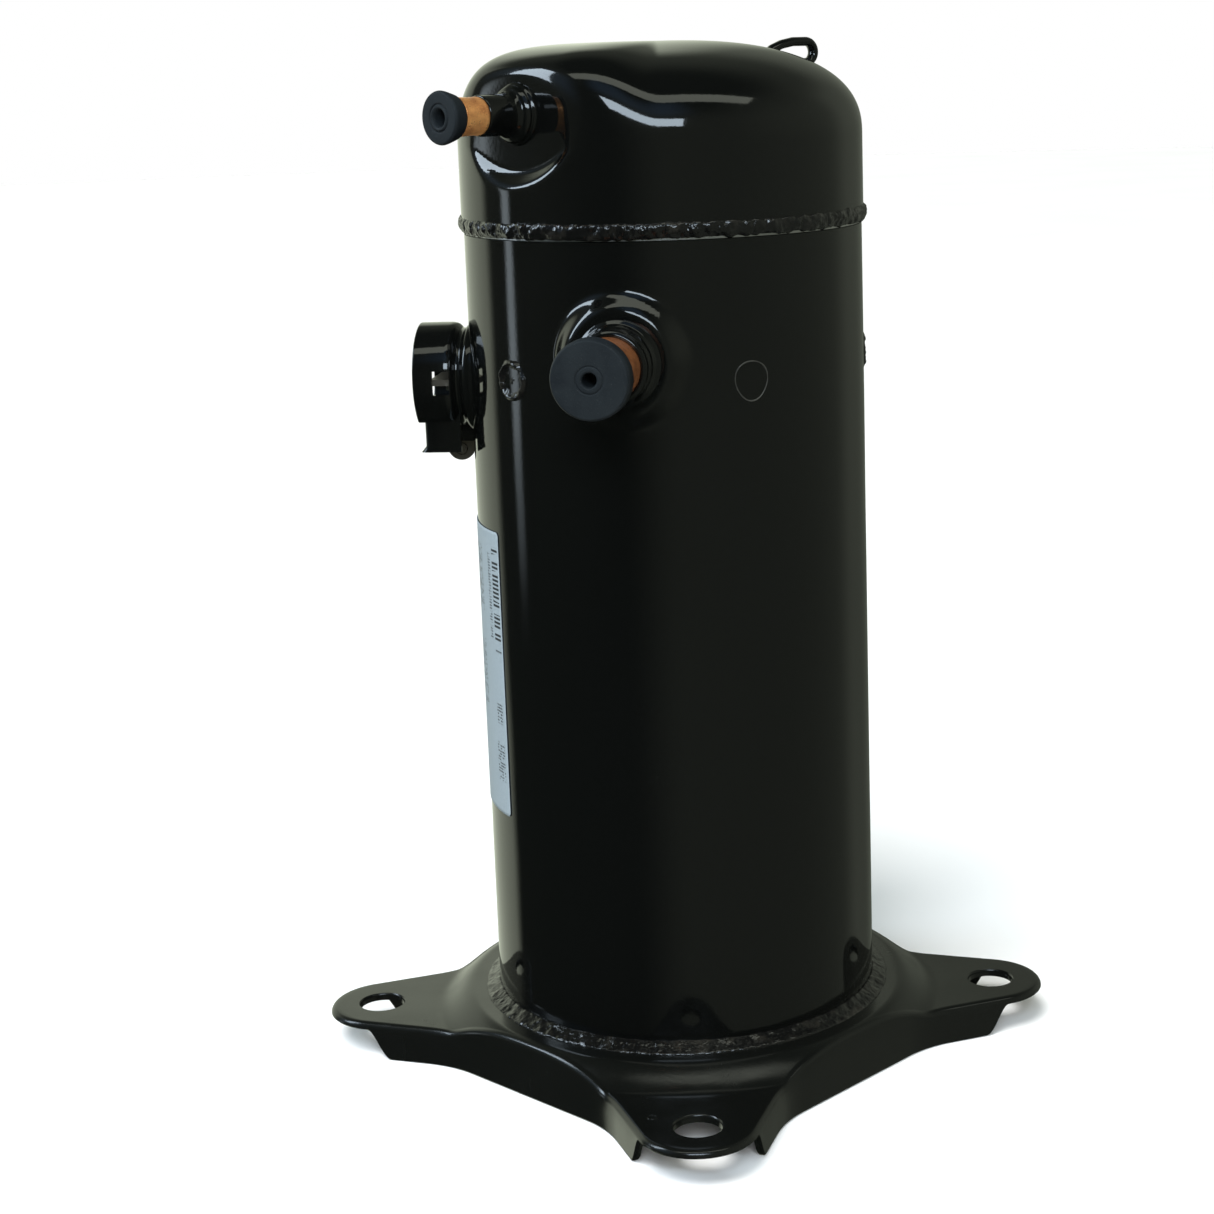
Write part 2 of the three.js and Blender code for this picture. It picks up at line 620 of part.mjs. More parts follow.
function orbitingScroll() {
  const keyways = [-1, 1].map((side) => block(
    [-5.3, 5.3], [side * 54 - 8.6, side * 54 + 8.6], [300, 313.5],
  ));
  const body = join(cylinder(60, ...ORBIT_BASE, MEDIUM), ring(15, 20, 289.5, ORBIT_BASE[0] + 1, COARSE));
  return join(cut(body, ...keyways), wrap(ORBIT_BASE[1] - 1, WRAP_TOP, Math.PI));
}
add('orbiting_scroll', ALUMINIUM, orbitingScroll(), crankPin);
add('orbit_bearing', BRONZE, ring(BUSH_RADIUS + 0.45, 14.7, 289.5, 307.5, COARSE), crankPin);
add('drive_bush', STEEL, ring(PIN_RADIUS + GAP, BUSH_RADIUS, 288, 305.5, COARSE), crankPin);

// ---- Thrust ring and Oldham ring under the orbiting scroll ----
const thrustRing = ring(31, 41.5, FRAME_TOP + GAP, ORBIT_BASE[0] - GAP, MEDIUM);
add('thrust_ring', BRONZE, atPlace(thrustRing, [ORBIT / 2, 0, 0]));

function oldhamRing() {
  const keys = [-1, 1].flatMap((side) => [
    block([side * 55 - 4, side * 55 + 4], [-5, 5], [297.4, 304]),
    block([-5, 5], [side * 55 - 4, side * 55 + 4], [307, 313]),
  ]);
  return join(ring(50, 59, POCKET_FLOOR + GAP, ORBIT_BASE[0] - 0.4, MEDIUM), ...keys);
}
add('oldham_ring', ALUMINIUM, oldhamRing(), crankPin);

// ---- Discharge check valve and relief valve on the separator plate ----
const VALVE_SEAT = SEPARATOR[1] + GAP;
add('check_valve_disc', STEEL, cylinder(9.5, VALVE_SEAT, VALVE_SEAT + 1, COARSE));
add('check_valve_guard', STEEL, turned([
  [11, VALVE_SEAT], [13, VALVE_SEAT], [13, 362], [4, 362], [4, 360.2], [11, 360.2],
], COARSE));
add('relief_valve', STEEL, join(
  cylinder(7, VALVE_SEAT, 361, 6, ...RELIEF_PLACE),
  cylinder(4.5, 360, 368, 12, ...RELIEF_PLACE),
));

// ---- Motor: stator, windings, protector and leads ----
function statorCore() {
  const slots = 24;
  const half = 180 / slots;
  const outline = new THREE.Shape();
  outline.absarc(0, 0, BORE_RADIUS - 0.5, 0, 2 * Math.PI, false);
  const bore = [];
  around(slots, (k) => [[-0.55, STATOR_BORE], [-0.35, 56], [0.35, 56], [0.55, STATOR_BORE]].forEach(
    ([side, radius]) => {
      const angle = radians(2 * half * k + side * half);
      bore.push(new THREE.Vector2(radius * Math.cos(angle), radius * Math.sin(angle)));
    },
  ));
  outline.holes.push(new THREE.Path(bore));
  const flats = around(4, (k) => outward(block([74.5, 90], [-60, 60], [100, 220]), 45 + 90 * k));
  return cut(prism(outline, ...STATOR_HEIGHTS, COARSE), ...flats);
}
add('stator_core', STEEL, statorCore());

function windingRing(inwards, outwards) {
  const [inner, outer] = WINDING_RADII;
  return turned([
    [inner, inwards], [outer, inwards], [outer, outwards - (outwards - inwards) * 0.3],
    [outer - 6, outwards], [inner + 6, outwards], [inner, outwards - (outwards - inwards) * 0.3],
  ], MEDIUM);
}
add('upper_winding', WINDING, windingRing(STATOR_HEIGHTS[1] + GAP, 241));
add('lower_winding', WINDING, windingRing(STATOR_HEIGHTS[0] - GAP, 81));
add('motor_protector', MOULDED, solid(
  new THREE.CapsuleGeometry(5, 16, 4, 12).rotateZ(Math.PI / 2).translate(0, 54, 246.5),
));

function motorLeads() {
  const route = new THREE.CatmullRomCurve3([
    new THREE.Vector3(56, 0, 244.5),
    new THREE.Vector3(62, 0, 252),
    new THREE.Vector3(71, 0, 260),
    new THREE.Vector3(73.2, 0, 268),
    new THREE.Vector3(73.2, 0, 277.4),
  ]);
  const section = new THREE.Shape();
  section.absarc(0, 0, 2.8, 0, 2 * Math.PI, false);
  const options = { steps: 14, extrudePath: route, curveSegments: 5, bevelEnabled: false };
  return solid(new THREE.ExtrudeGeometry(section, options));
}
add('motor_leads', MOULDED, outward(motorLeads(), TERMINAL_AZIMUTH));

// ---- Lower bearing bracket ----
const BRACKET = [62, 70];
function lowerBracket() {
  const arms = around(3, (k) => outward(block([12, 90], [-9, 9], BRACKET), 30 + 120 * k));
  const body = join(cylinder(20, BRACKET[0], 78, COARSE), ...arms);
  return cut(body.intersect(cylinder(BORE_RADIUS - 0.5, 0, 100, FINE)), cylinder(14.3, 0, 100, COARSE));
}
add('lower_bracket', STEEL, lowerBracket());
add('lower_bearing', BRONZE, ring(11.4, 14, BRACKET[0], 78, COARSE));

// ---- Crankshaft and everything that turns with it ----
function crankshaft() {
  const body = join(
    turned([[0, 42], [11, 42], [11, 96], [SHAFT_RADIUS, 96], [SHAFT_RADIUS, 287.6], [0, 287.6]], COARSE),
    cylinder(PIN_RADIUS, 287, 305.2, 24, ORBIT),
  );
  // The oil drilling climbs from the middle of the foot to the crank pin.
  const drilling = new THREE.CylinderGeometry(2.2, 2.2, 300, 10).rotateX(Math.PI / 2);
  drilling.rotateY(Math.atan2(ORBIT, 264)).translate(ORBIT / 2, 0, 174);
  return cut(body, solid(drilling));
}
add('crankshaft', CAST_IRON, crankshaft());
add('oil_pickup', STEEL, turned([[2.2, 41.7], [9, 41.7], [7, 24], [4.5, 22], [2.2, 22]], COARSE));
add('rotor_core', STEEL, ring(SHAFT_RADIUS + GAP, ROTOR_RADIUS, ...ROTOR_HEIGHTS, COARSE));
add('rotor_end_ring_upper', ALUMINIUM, ring(20, 36, ROTOR_HEIGHTS[1] + GAP, 218, COARSE));
add('rotor_end_ring_lower', ALUMINIUM, ring(20, 36, 104, ROTOR_HEIGHTS[0] - GAP, COARSE));

function halfRing(inner, outer, bottom, top, side) {
  const half = block([0, side * 50].sort((a, b) => a - b), [-50, 50], [bottom - 1, top + 1]);
  return ring(inner, outer, bottom, top, COARSE).intersect(half);
}
add('upper_counterweight', BRONZE, halfRing(20, 35, 218.3, 236, -1));
add('lower_counterweight', BRONZE, halfRing(20, 35, 90, 103.7, 1));

export default compressor;
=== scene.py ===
# %% [markdown]
# # A hermetic scroll compressor
# A scroll compressor is a motor and a pair of spiral plates sealed in a welded steel shell.
# The frame brings the plain working model: every piece has its true size and place there.
# This lesson rebuilds the outside as fine, smooth meshes, and gives every piece its finish.
# The pieces inside the sealed shell are never seen, so they keep the frame's own meshes.

# %% Load the working model
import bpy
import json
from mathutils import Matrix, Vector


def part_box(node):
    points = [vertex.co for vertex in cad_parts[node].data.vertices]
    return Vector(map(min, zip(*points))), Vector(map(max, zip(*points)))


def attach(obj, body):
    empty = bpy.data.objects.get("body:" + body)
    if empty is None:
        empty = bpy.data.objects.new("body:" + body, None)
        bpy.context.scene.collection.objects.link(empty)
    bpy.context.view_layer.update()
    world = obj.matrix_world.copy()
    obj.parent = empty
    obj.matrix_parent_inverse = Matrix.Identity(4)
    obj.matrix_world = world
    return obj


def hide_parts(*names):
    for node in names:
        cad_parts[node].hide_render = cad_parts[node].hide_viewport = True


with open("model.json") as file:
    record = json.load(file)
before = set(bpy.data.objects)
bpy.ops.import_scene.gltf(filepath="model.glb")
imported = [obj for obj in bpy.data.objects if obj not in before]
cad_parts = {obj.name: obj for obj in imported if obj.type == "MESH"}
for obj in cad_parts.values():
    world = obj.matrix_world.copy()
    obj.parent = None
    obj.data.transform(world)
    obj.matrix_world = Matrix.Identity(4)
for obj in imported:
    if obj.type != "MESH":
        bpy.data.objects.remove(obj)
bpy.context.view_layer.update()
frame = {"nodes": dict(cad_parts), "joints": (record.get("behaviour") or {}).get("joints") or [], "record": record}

# %% [markdown]
# ## Units
# A maker's drawing of a machine like this is in millimetres, and Blender's own unit is the
# metre. Every size below stays in millimetres, and one factor changes it when a mesh is made.

# %% The libraries and the units
import json
import math

import bmesh
import bpy
import numpy as np
from mathutils import Matrix, Vector, noise

MM = 0.001  # every length below is in millimetres until a mesh is made


def box_mm(node):
    low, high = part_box(node)
    return low / MM, high / MM


# %% [markdown]
# ## Reading the frame
# The shell is a tube about Z, and everything else is placed by an azimuth and a height on it.
# An azimuth is measured about Z from -Y towards +X. The stubs' azimuths come from the joints
# that let their plugs pull out, and the terminal drum's from its mounting face.

# %% Places that the frame gives
def azimuth_of(axis):
    return math.degrees(math.atan2(axis[0], -axis[1]))


joints = {joint["name"]: joint for joint in frame["joints"]}
mounts = {mount["name"]: mount for mount in frame["record"]["mounts"]}
SUCTION_AZIMUTH = azimuth_of(joints["suction_plug_pull"]["axis"])
DISCHARGE_AZIMUTH = azimuth_of(joints["discharge_plug_pull"]["axis"])
TERMINAL_AZIMUTH = azimuth_of(mounts["terminal_rim"]["axis"])


def middle_height(node):
    low, high = box_mm(node)
    return (low.z + high.z) / 2


SUCTION_HEIGHT = middle_height("suction_stub")
DISCHARGE_HEIGHT = middle_height("discharge_stub")
TERMINAL_HEIGHT = middle_height("terminal_base")
SHELL_RADIUS = box_mm("bottom_cap")[1].x
TUBE_BOTTOM, TUBE_TOP = (corner.z for corner in box_mm("shell_tube"))
CAP_RIM, CAP_TOP = (corner.z for corner in box_mm("top_cap"))
WALL = 3.2
print("shell radius", round(SHELL_RADIUS, 2), "cap top", round(CAP_TOP, 2))
print("azimuths", [round(a, 1) for a in (SUCTION_AZIMUTH, DISCHARGE_AZIMUTH, TERMINAL_AZIMUTH)])

# %% [markdown]
# ## Camera
# The camera looks down a little from the front, with a portrait-length lens. It is made from
# its own right, up and forward directions, because the picture is also rolled by two degrees.

# %% Place the camera
CAMERA_PLACE = Vector((-17.6, -968.7, 419.4)) * MM
CAMERA_YAW, CAMERA_PITCH, CAMERA_ROLL = (math.radians(a) for a in (1.32, 11.7, -1.77))


def camera_matrix(place, yaw, pitch, roll):
    forward = Vector((
        math.sin(yaw) * math.cos(pitch), math.cos(yaw) * math.cos(pitch), -math.sin(pitch),
    ))
    level_right = Vector((math.cos(yaw), -math.sin(yaw), 0))
    level_up = level_right.cross(forward)
    right = math.cos(roll) * level_right + math.sin(roll) * level_up
    up = math.cos(roll) * level_up - math.sin(roll) * level_right
    turn = Matrix((right, up, -forward)).transposed()
    return Matrix.Translation(place) @ turn.to_4x4()


camera_data = bpy.data.cameras.new("camera")
camera_data.lens = 69.0
camera_data.sensor_width = 36.0
camera_data.shift_x = -0.0634
camera_data.shift_y = -0.0543
camera = bpy.data.objects.new("camera", camera_data)
camera.matrix_world = camera_matrix(CAMERA_PLACE, CAMERA_YAW, CAMERA_PITCH, CAMERA_ROLL)
bpy.context.scene.collection.objects.link(camera)
bpy.context.scene.camera = camera
print("camera at", tuple(round(v, 3) for v in CAMERA_PLACE))

# %% [markdown]
# ## Materials by nodes
# Each finish is a Principled shader. What varies over the surface, such as scratches or
# tarnish, comes from noise on Object coordinates; what is the same all over is typed into
# the shader's own socket. These helpers keep each finish short.

# %% Helpers for node materials
class Finish:
    """One material while its nodes are being built."""

    def __init__(self, name, color, roughness, metallic=0.0, **sockets):
        self.material = bpy.data.materials.new(name)
        self.material.use_nodes = True
        self.nodes = self.material.node_tree.nodes
        self.links = self.material.node_tree.links
        self.shader = self.nodes["Principled BSDF"]
        self.set(**{"Base Color": (*color, 1), "Roughness": roughness, "Metallic": metallic})
        self.set(**sockets)
        self.place = self.node("ShaderNodeTexCoord").outputs["Object"]

    def set(self, **sockets):
        for socket, value in sockets.items():
            self.shader.inputs[socket.replace("_", " ")].default_value = value

    def node(self, kind, **settings):
        node = self.nodes.new(kind)
        for key, value in settings.items():
            setattr(node, key, value)
        return node

    def link(self, source, target):
        self.links.new(source, target)

    def stretched(self, scale=(1, 1, 1), turn=(0, 0, 0), place=None):
        mapping = self.node("ShaderNodeMapping")
        mapping.inputs["Scale"].default_value = scale
        mapping.inputs["Rotation"].default_value = turn
        self.link(place or self.place, mapping.inputs["Vector"])
        return mapping.outputs["Vector"]

    def noise(self, scale, detail=4, roughness=0.55, place=None, distortion=0.0):
        texture = self.node("ShaderNodeTexNoise")
        texture.inputs["Scale"].default_value = scale
        texture.inputs["Detail"].default_value = detail
        texture.inputs["Roughness"].default_value = roughness
        texture.inputs["Distortion"].default_value = distortion
        self.link(place or self.place, texture.inputs["Vector"])
        return texture.outputs["Fac"]

    def remap(self, value, low, high, to_low=0.0, to_high=1.0):
        node = self.node("ShaderNodeMapRange", clamp=True)
        self.link(value, node.inputs["Value"])
        for socket, number in zip(("From Min", "From Max", "To Min", "To Max"),
                                  (low, high, to_low, to_high)):
            node.inputs[socket].default_value = number
        return node.outputs["Result"]

    def math(self, operation, first, second):
        node = self.node("ShaderNodeMath", operation=operation)
        for socket, value in zip(node.inputs, (first, second)):
            if isinstance(value, (int, float)):
                socket.default_value = value
            else:
                self.link(value, socket)
        return node.outputs["Value"]

    def mix(self, factor, first, second):
        node = self.node("ShaderNodeMix", data_type="RGBA")
        self.link(factor, node.inputs["Factor"])
        for socket, value in zip((node.inputs[6], node.inputs[7]), (first, second)):
            if isinstance(value, tuple):
                socket.default_value = (*value, 1)
            else:
                self.link(value, socket)
        return node.outputs[2]

    def color(self, value):
        self.link(value, self.shader.inputs["Base Color"])

    def roughness(self, value):
        self.link(value, self.shader.inputs["Roughness"])

    def bump(self, height, strength, distance, chain=None):
        node = self.node("ShaderNodeBump")
        node.inputs["Strength"].default_value = strength
        node.inputs["Distance"].default_value = distance
        self.link(height, node.inputs["Height"])
        if chain is not None:
            self.link(chain, node.inputs["Normal"])
        self.link(node.outputs["Normal"], self.shader.inputs["Normal"])
        return node.outputs["Normal"]


print("shader helpers", [name for name in vars(Finish) if not name.startswith("_")])

# %% [markdown]
# ## Black enamel
# The shell is dipped in gloss black enamel, which is nearly a mirror. Its reflections waver a
# little, because the paint has a faint orange-peel skin and the steel under it isn't perfectly
# even. Sparse dust and rub marks break the gloss, and without them it would look like glass.

# %% Black enamel
def enamel(name, color=(0.0016, 0.0018, 0.0017), gloss=0.06, peel=0.03):
    paint = Finish(name, color, gloss, IOR=1.46)
    wear = paint.noise(38, detail=6)
    rubs = paint.noise(420, detail=3, place=paint.stretched((1, 1, 0.06), (0.5, 0.2, 0)))
    marks = paint.math("MULTIPLY", paint.remap(wear, 0.56, 0.7), paint.remap(rubs, 0.6, 0.72))
    paint.roughness(paint.math(
        "ADD", paint.remap(wear, 0.3, 0.75, gloss * 0.7, gloss * 1.7), paint.math("MULTIPLY", marks, 0.1),
    ))
    dust = paint.remap(paint.noise(1900, detail=2), 0.71, 0.76)
    settled = paint.math("MULTIPLY", dust, paint.remap(paint.noise(14), 0.45, 0.7, 0.0, 0.5))
    paint.color(paint.mix(settled, color, (0.03, 0.03, 0.028)))
    skin = paint.bump(paint.noise(720, detail=1, roughness=0.3), peel, 0.0003)
    paint.bump(paint.noise(26, detail=1, roughness=0.2), 0.05, 0.002, skin)
    return paint.material


ENAMEL = enamel("black_enamel")
PLATE_ENAMEL = enamel("base_plate_enamel", (0.0028, 0.0031, 0.0027), gloss=0.17, peel=0.04)
print("enamels", ENAMEL.name, PLATE_ENAMEL.name)

# %% [markdown]
# ## Painted weld
# The weld beads carry the same paint, but it lies on a coarse, fish-scaled bead, so the light
# breaks into many small glints. Bump from two sizes of noise sits on the modelled ripples.

# %% Painted weld
def painted_weld():
    paint = Finish("painted_weld", (0.003, 0.003, 0.003), 0.12, IOR=1.5)
    grit = paint.noise(900, detail=5, roughness=0.65)
    paint.roughness(paint.remap(paint.noise(260), 0.35, 0.7, 0.04, 0.16))
    scale = paint.remap(paint.noise(140, detail=5), 0.52, 0.74)
    paint.color(paint.mix(scale, (0.0025, 0.0025, 0.0025), (0.012, 0.011, 0.009)))
    coarse = paint.bump(paint.noise(300, detail=2), 0.5, 0.0012)
    paint.bump(grit, 0.25, 0.0004, coarse)
    return paint.material


WELD = painted_weld()
print("weld material", WELD.name)

# %% [markdown]
# ## Copper stubs
# The stubs are copper tube. Handling and brazing leave it brown in patches with bright fine
# scratches along and round the tube, so colour and roughness both follow stretched noise.

# %% Copper
def copper(name, bright, brown):
    metal = Finish(name, bright, 0.34, 0.7)
    tarnish = metal.remap(metal.noise(150, detail=6, roughness=0.65), 0.38, 0.66)
    shade = metal.mix(tarnish, bright, brown)
    streaks = metal.noise(2600, detail=2, place=metal.stretched((0.12, 1, 1), (0, 0, 0.3)))
    scratches = metal.remap(streaks, 0.62, 0.7)
    metal.color(metal.mix(scratches, shade, tuple(min(1, 1.25 * c) for c in bright)))
    metal.roughness(metal.remap(metal.noise(320, detail=5), 0.3, 0.7, 0.22, 0.5))
    metal.bump(streaks, 0.12, 0.0002)
    return metal.material


COPPER = copper("copper", (0.8, 0.38, 0.13), (0.42, 0.16, 0.055))
BROWNED_COPPER = copper("browned_copper", (0.42, 0.16, 0.06), (0.2, 0.065, 0.025))
print("copper materials", COPPER.name, BROWNED_COPPER.name)

# %% [markdown]
# ## Moulded rubber
# The shipping plugs are matt slate-black rubber. Moulding leaves a fine grain, and dust sits
# in it, which lifts the colour a little in patches. It hardly shines.

# %% Rubber
def rubber():
    soft = Finish("moulded_rubber", (0.006, 0.008, 0.010), 0.6, Specular_IOR_Level=0.18)
    cloud = soft.remap(soft.noise(70, detail=6), 0.35, 0.7)
    specks = soft.remap(soft.noise(2300, detail=2), 0.68, 0.74)
    shade = soft.mix(cloud, (0.0055, 0.0075, 0.0095), (0.0095, 0.0125, 0.0145))
    soft.color(soft.mix(specks, shade, (0.035, 0.038, 0.038)))
    soft.roughness(soft.remap(cloud, 0, 1, 0.55, 0.75))
    soft.bump(soft.noise(1500, detail=3), 0.2, 0.0003)
    return soft.material


RUBBER = rubber()
print("rubber material", RUBBER.name)

# %% [markdown]
# ## The label's paper and print
# The rating label is pale satin paper. Its print is only suggested, by plain bars and blocks
# in a few columns: brick patterns in the label's own UV space, masked to where print would be.

# %% Windows for the print
def between(finish, value, low, high, soft=0.004):
    rise = finish.remap(value, low - soft, low + soft)
    fall = finish.remap(value, high - soft, high + soft, 1.0, 0.0)
    return finish.math("MULTIPLY", rise, fall)


def print_block(finish, uv, u_range, v_range, scale, threshold=0.5):
    """A window of the label that holds a grid of small printed blocks."""
    u, v = uv
    window = finish.math("MULTIPLY", between(finish, u, *u_range), between(finish, v, *v_range))
    grid = finish.node("ShaderNodeTexBrick", offset=0.37)
    for socket, value in (("Scale", 1.0), ("Mortar Size", 0.11), ("Mortar Smooth", 0.0),
                          ("Brick Width", 1.0), ("Row Height", 0.5)):
        grid.inputs[socket].default_value = value
    both = finish.node("ShaderNodeCombineXYZ")
    finish.link(finish.math("MULTIPLY", u, scale[0]), both.inputs["X"])
    finish.link(finish.math("MULTIPLY", v, scale[1]), both.inputs["Y"])
    finish.link(both.outputs["Vector"], grid.inputs["Vector"])
    bricks = finish.math("SUBTRACT", 1.0, grid.outputs["Fac"])
    gate = finish.noise(1.0, detail=0, place=both.outputs["Vector"])
    inked = finish.math("MULTIPLY", bricks, finish.math("GREATER_THAN", gate, threshold))
    return finish.math("MULTIPLY", window, inked)


print("print is made by", between.__name__, "and", print_block.__name__)

# %% The sheet and its blocks of print
def label_paper():
    paper = Finish("label_paper", (0.2, 0.24, 0.26), 0.5, Specular_IOR_Level=0.03)
    uv_map = paper.node("ShaderNodeUVMap", uv_map="UVMap")
    split = paper.node("ShaderNodeSeparateXYZ")
    paper.link(uv_map.outputs["UV"], split.inputs["Vector"])
    uv = (split.outputs["X"], split.outputs["Y"])
    blocks = [
        # from and to across; from and to up; blocks across and up; share left blank
        ((0.9, 0.985), (0.58, 0.943), (1.5, 34), 0.36),
        ((0.83, 0.87), (0.62, 0.92), (60, 50), 0.4),
        ((0.88, 0.96), (0.325, 0.395), (42, 44), 0.4),
        ((0.86, 0.965), (0.12, 0.255), (44, 48), 0.45),
        ((0.1, 0.7), (0.7, 0.93), (16, 46), 0.45),
        ((0.1, 0.7), (0.36, 0.6), (22, 60), 0.5),
        ((0.1, 0.45), (0.1, 0.26), (14, 40), 0.45),
    ]
    ink = 0.0
    for u_range, v_range, scale, threshold in blocks:
        ink = paper.math("MAXIMUM", ink, print_block(paper, uv, u_range, v_range, scale, threshold))
    fibre = paper.remap(paper.noise(900, detail=4), 0.35, 0.7)
    sheet = paper.mix(fibre, (0.19, 0.225, 0.25), (0.22, 0.26, 0.28))
    paper.color(paper.mix(paper.math("MULTIPLY", ink, 0.95), sheet, (0.008, 0.009, 0.011)))
    paper.roughness(paper.remap(fibre, 0, 1, 0.36, 0.5))
    paper.bump(paper.noise(1400, detail=2), 0.05, 0.0002)
    return paper.material


LABEL_PAPER = label_paper()
print("label material", LABEL_PAPER.name)

# %% [markdown]
# ## Metals inside
# The inner pieces are turned, cast, stamped or sintered. A small family of metals covers them:
# each has a base colour, a grain that is stretched the way the piece was worked, and patches
# where oil or oxide changes the gloss.

# %% Worked metals
def worked_metal(name, light, dark, roughness, grain=(1, 1, 1), grain_scale=900, metallic=1.0):
    metal = Finish(name, light, roughness, metallic)
    patches = metal.remap(metal.noise(60, detail=5), 0.35, 0.68)
    lines = metal.noise(grain_scale, detail=3, place=metal.stretched(grain))
    shade = metal.mix(patches, light, dark)
    glint = tuple(min(1, 1.3 * c) for c in light)
    metal.color(metal.mix(metal.remap(lines, 0.6, 0.75), shade, glint))
    metal.roughness(metal.remap(lines, 0.3, 0.7, roughness * 0.8, roughness * 1.25))
    metal.bump(lines, 0.15, 0.0003)
    return metal.material


ROUND = (1, 1, 14)  # lines that run round a turned piece
CAST_IRON = worked_metal("machined_cast_iron", (0.21, 0.21, 0.215), (0.13, 0.13, 0.13), 0.45, ROUND)
STEEL = worked_metal("turned_steel", (0.5, 0.5, 0.51), (0.38, 0.38, 0.39), 0.28, ROUND)
LAMINATED = worked_metal("steel_laminations", (0.36, 0.37, 0.39), (0.25, 0.25, 0.27), 0.4, (0.02, 0.02, 2))
ALUMINIUM = worked_metal("die_cast_aluminium", (0.62, 0.63, 0.65), (0.5, 0.5, 0.52), 0.38, grain_scale=600)
BRONZE = worked_metal("sintered_bronze", (0.45, 0.31, 0.15), (0.33, 0.22, 0.1), 0.45, grain_scale=1600)
PLATED = worked_metal("plated_steel", (0.3, 0.27, 0.23), (0.2, 0.17, 0.15), 0.42, grain_scale=1200)
TIN = worked_metal("tinned_pin", (0.55, 0.54, 0.52), (0.42, 0.41, 0.4), 0.3, ROUND)
print("metals", [m.name for m in (CAST_IRON, STEEL, LAMINATED, ALUMINIUM, BRONZE, PLATED, TIN)])

# %% [markdown]
# ## Windings, seal and moulded plastic
# The winding heads are bundles of varnished copper wire, so a tight wave gives the strands,
# with painted shade in the grooves between them and a painted highlight on their crests.
# The terminal plate is steel with green-grey glass round each pin, and the protector, cluster
# block and lead sleeve are dull black plastic with a fine spark-eroded grain.

# %% Winding, glass and plastic
def winding():
    wire = Finish("varnished_winding", (0.42, 0.16, 0.05), 0.3, 0.7, Coat_Weight=0.4)
    strands = wire.node("ShaderNodeTexWave", bands_direction="DIAGONAL")
    strands.inputs["Scale"].default_value = 260
    strands.inputs["Distortion"].default_value = 3.5
    strands.inputs["Detail"].default_value = 2
    wire.link(wire.place, strands.inputs["Vector"])
    lines = strands.outputs["Fac"]
    # Dark bands are painted shade between the strands, and light bands are a painted highlight on them.
    wire.color(wire.mix(lines, (0.16, 0.05, 0.018), (0.55, 0.23, 0.08)))
    wire.roughness(wire.remap(wire.noise(200), 0.3, 0.7, 0.25, 0.5))
    wire.bump(lines, 0.6, 0.0008)
    return wire.material


def moulded_plastic():
    plastic = Finish("moulded_plastic", (0.02, 0.021, 0.023), 0.5)
    cloud = plastic.remap(plastic.noise(90), 0.35, 0.7)
    plastic.color(plastic.mix(cloud, (0.017, 0.018, 0.02), (0.03, 0.031, 0.033)))
    plastic.roughness(plastic.remap(plastic.noise(400), 0.3, 0.7, 0.42, 0.6))
    plastic.bump(plastic.noise(2200, detail=2), 0.2, 0.0002)
    return plastic.material


def glass_seal():
    seal = Finish("glass_sealed_plate", (0.05, 0.07, 0.06), 0.15, Coat_Weight=0.5)
    cloud = seal.remap(seal.noise(300, detail=5), 0.4, 0.65)
    seal.color(seal.mix(cloud, (0.035, 0.05, 0.045), (0.09, 0.11, 0.1)))
    seal.roughness(seal.remap(seal.noise(500), 0.3, 0.7, 0.1, 0.3))
    seal.bump(seal.noise(900), 0.1, 0.0003)
    return seal.material


WINDING = winding()
PLASTIC = moulded_plastic()
SEAL = glass_seal()
print("non-metals", WINDING.name, PLASTIC.name, SEAL.name)

# %% [markdown]
# ## Mesh helpers
# Most pieces here are lofts: a list of loops, each with the same number of points, joined by
# quads. A turned piece is a loft of circles. Corners get a small radius, as on real parts,
# because a perfectly sharp edge never catches the light.

# %% Lofts
def rounded(profile, radius, steps=4):
    """A closed outline of (a, b) points whose corners are replaced by short arcs."""
    result = []
    count = len(profile)
    for k, corner in enumerate(profile):
        corner = Vector(corner)
        before = Vector(profile[k - 1]) - corner
        after = Vector(profile[(k + 1) % count]) - corner
        reach = min(radius, before.length * 0.45, after.length * 0.45)
        start = corner + before.normalized() * reach
        end = corner + after.normalized() * reach
        for step in range(steps + 1):
            t = step / steps
            result.append(start * (1 - t) ** 2 + corner * 2 * t * (1 - t) + end * t * t)
    return result


def loft_faces(rows, columns, wrap_rows=False):
    faces = []
    for row in range(rows if wrap_rows else rows - 1):
        above = (row + 1) % rows
        for k in range(columns):
            after = (k + 1) % columns
            a, b = row * columns, above * columns
            faces.append((a + k, a + after, b + after, b + k))
    return faces


def finish_mesh(name, vertices, faces, material, smooth=True):
    """Makes the mesh in metres, merges doubles and turns its faces outwards."""
    mesh = bpy.data.meshes.new(name)
    mesh.from_pydata([Vector(v) * MM for v in vertices], [], faces)
    edit = bmesh.new()
    edit.from_mesh(mesh)
    bmesh.ops.remove_doubles(edit, verts=edit.verts, dist=1e-7)
    bmesh.ops.dissolve_degenerate(edit, dist=1e-8, edges=edit.edges)
    bmesh.ops.recalc_face_normals(edit, faces=edit.faces)
    edit.to_mesh(mesh)
    edit.free()
    if smooth:
        mesh.shade_smooth()
    else:
        mesh.shade_flat()
    mesh.materials.append(material)
    piece = bpy.data.objects.new(name, mesh)
    bpy.context.scene.collection.objects.link(piece)
    return piece


def outward(azimuth, height=0.0):
    """Turns a shape drawn with X outwards to its azimuth and height on the shell."""
    return Matrix.Translation((0, 0, height)) @ Matrix.Rotation(math.radians(azimuth - 90), 4, "Z")


print("a loft of three loops of eight points has", len(loft_faces(3, 8)), "faces")

# %% [markdown]
# ## Turned pieces and how a piece joins its body
# Collars, plugs and beads were turned or lie round an axis, so one function spins an outline.
# Blender's Screw modifier would do the same; a loft is used because the outline's corners are
# rounded first and both ends meet without a seam. A finished piece then rides on its body.

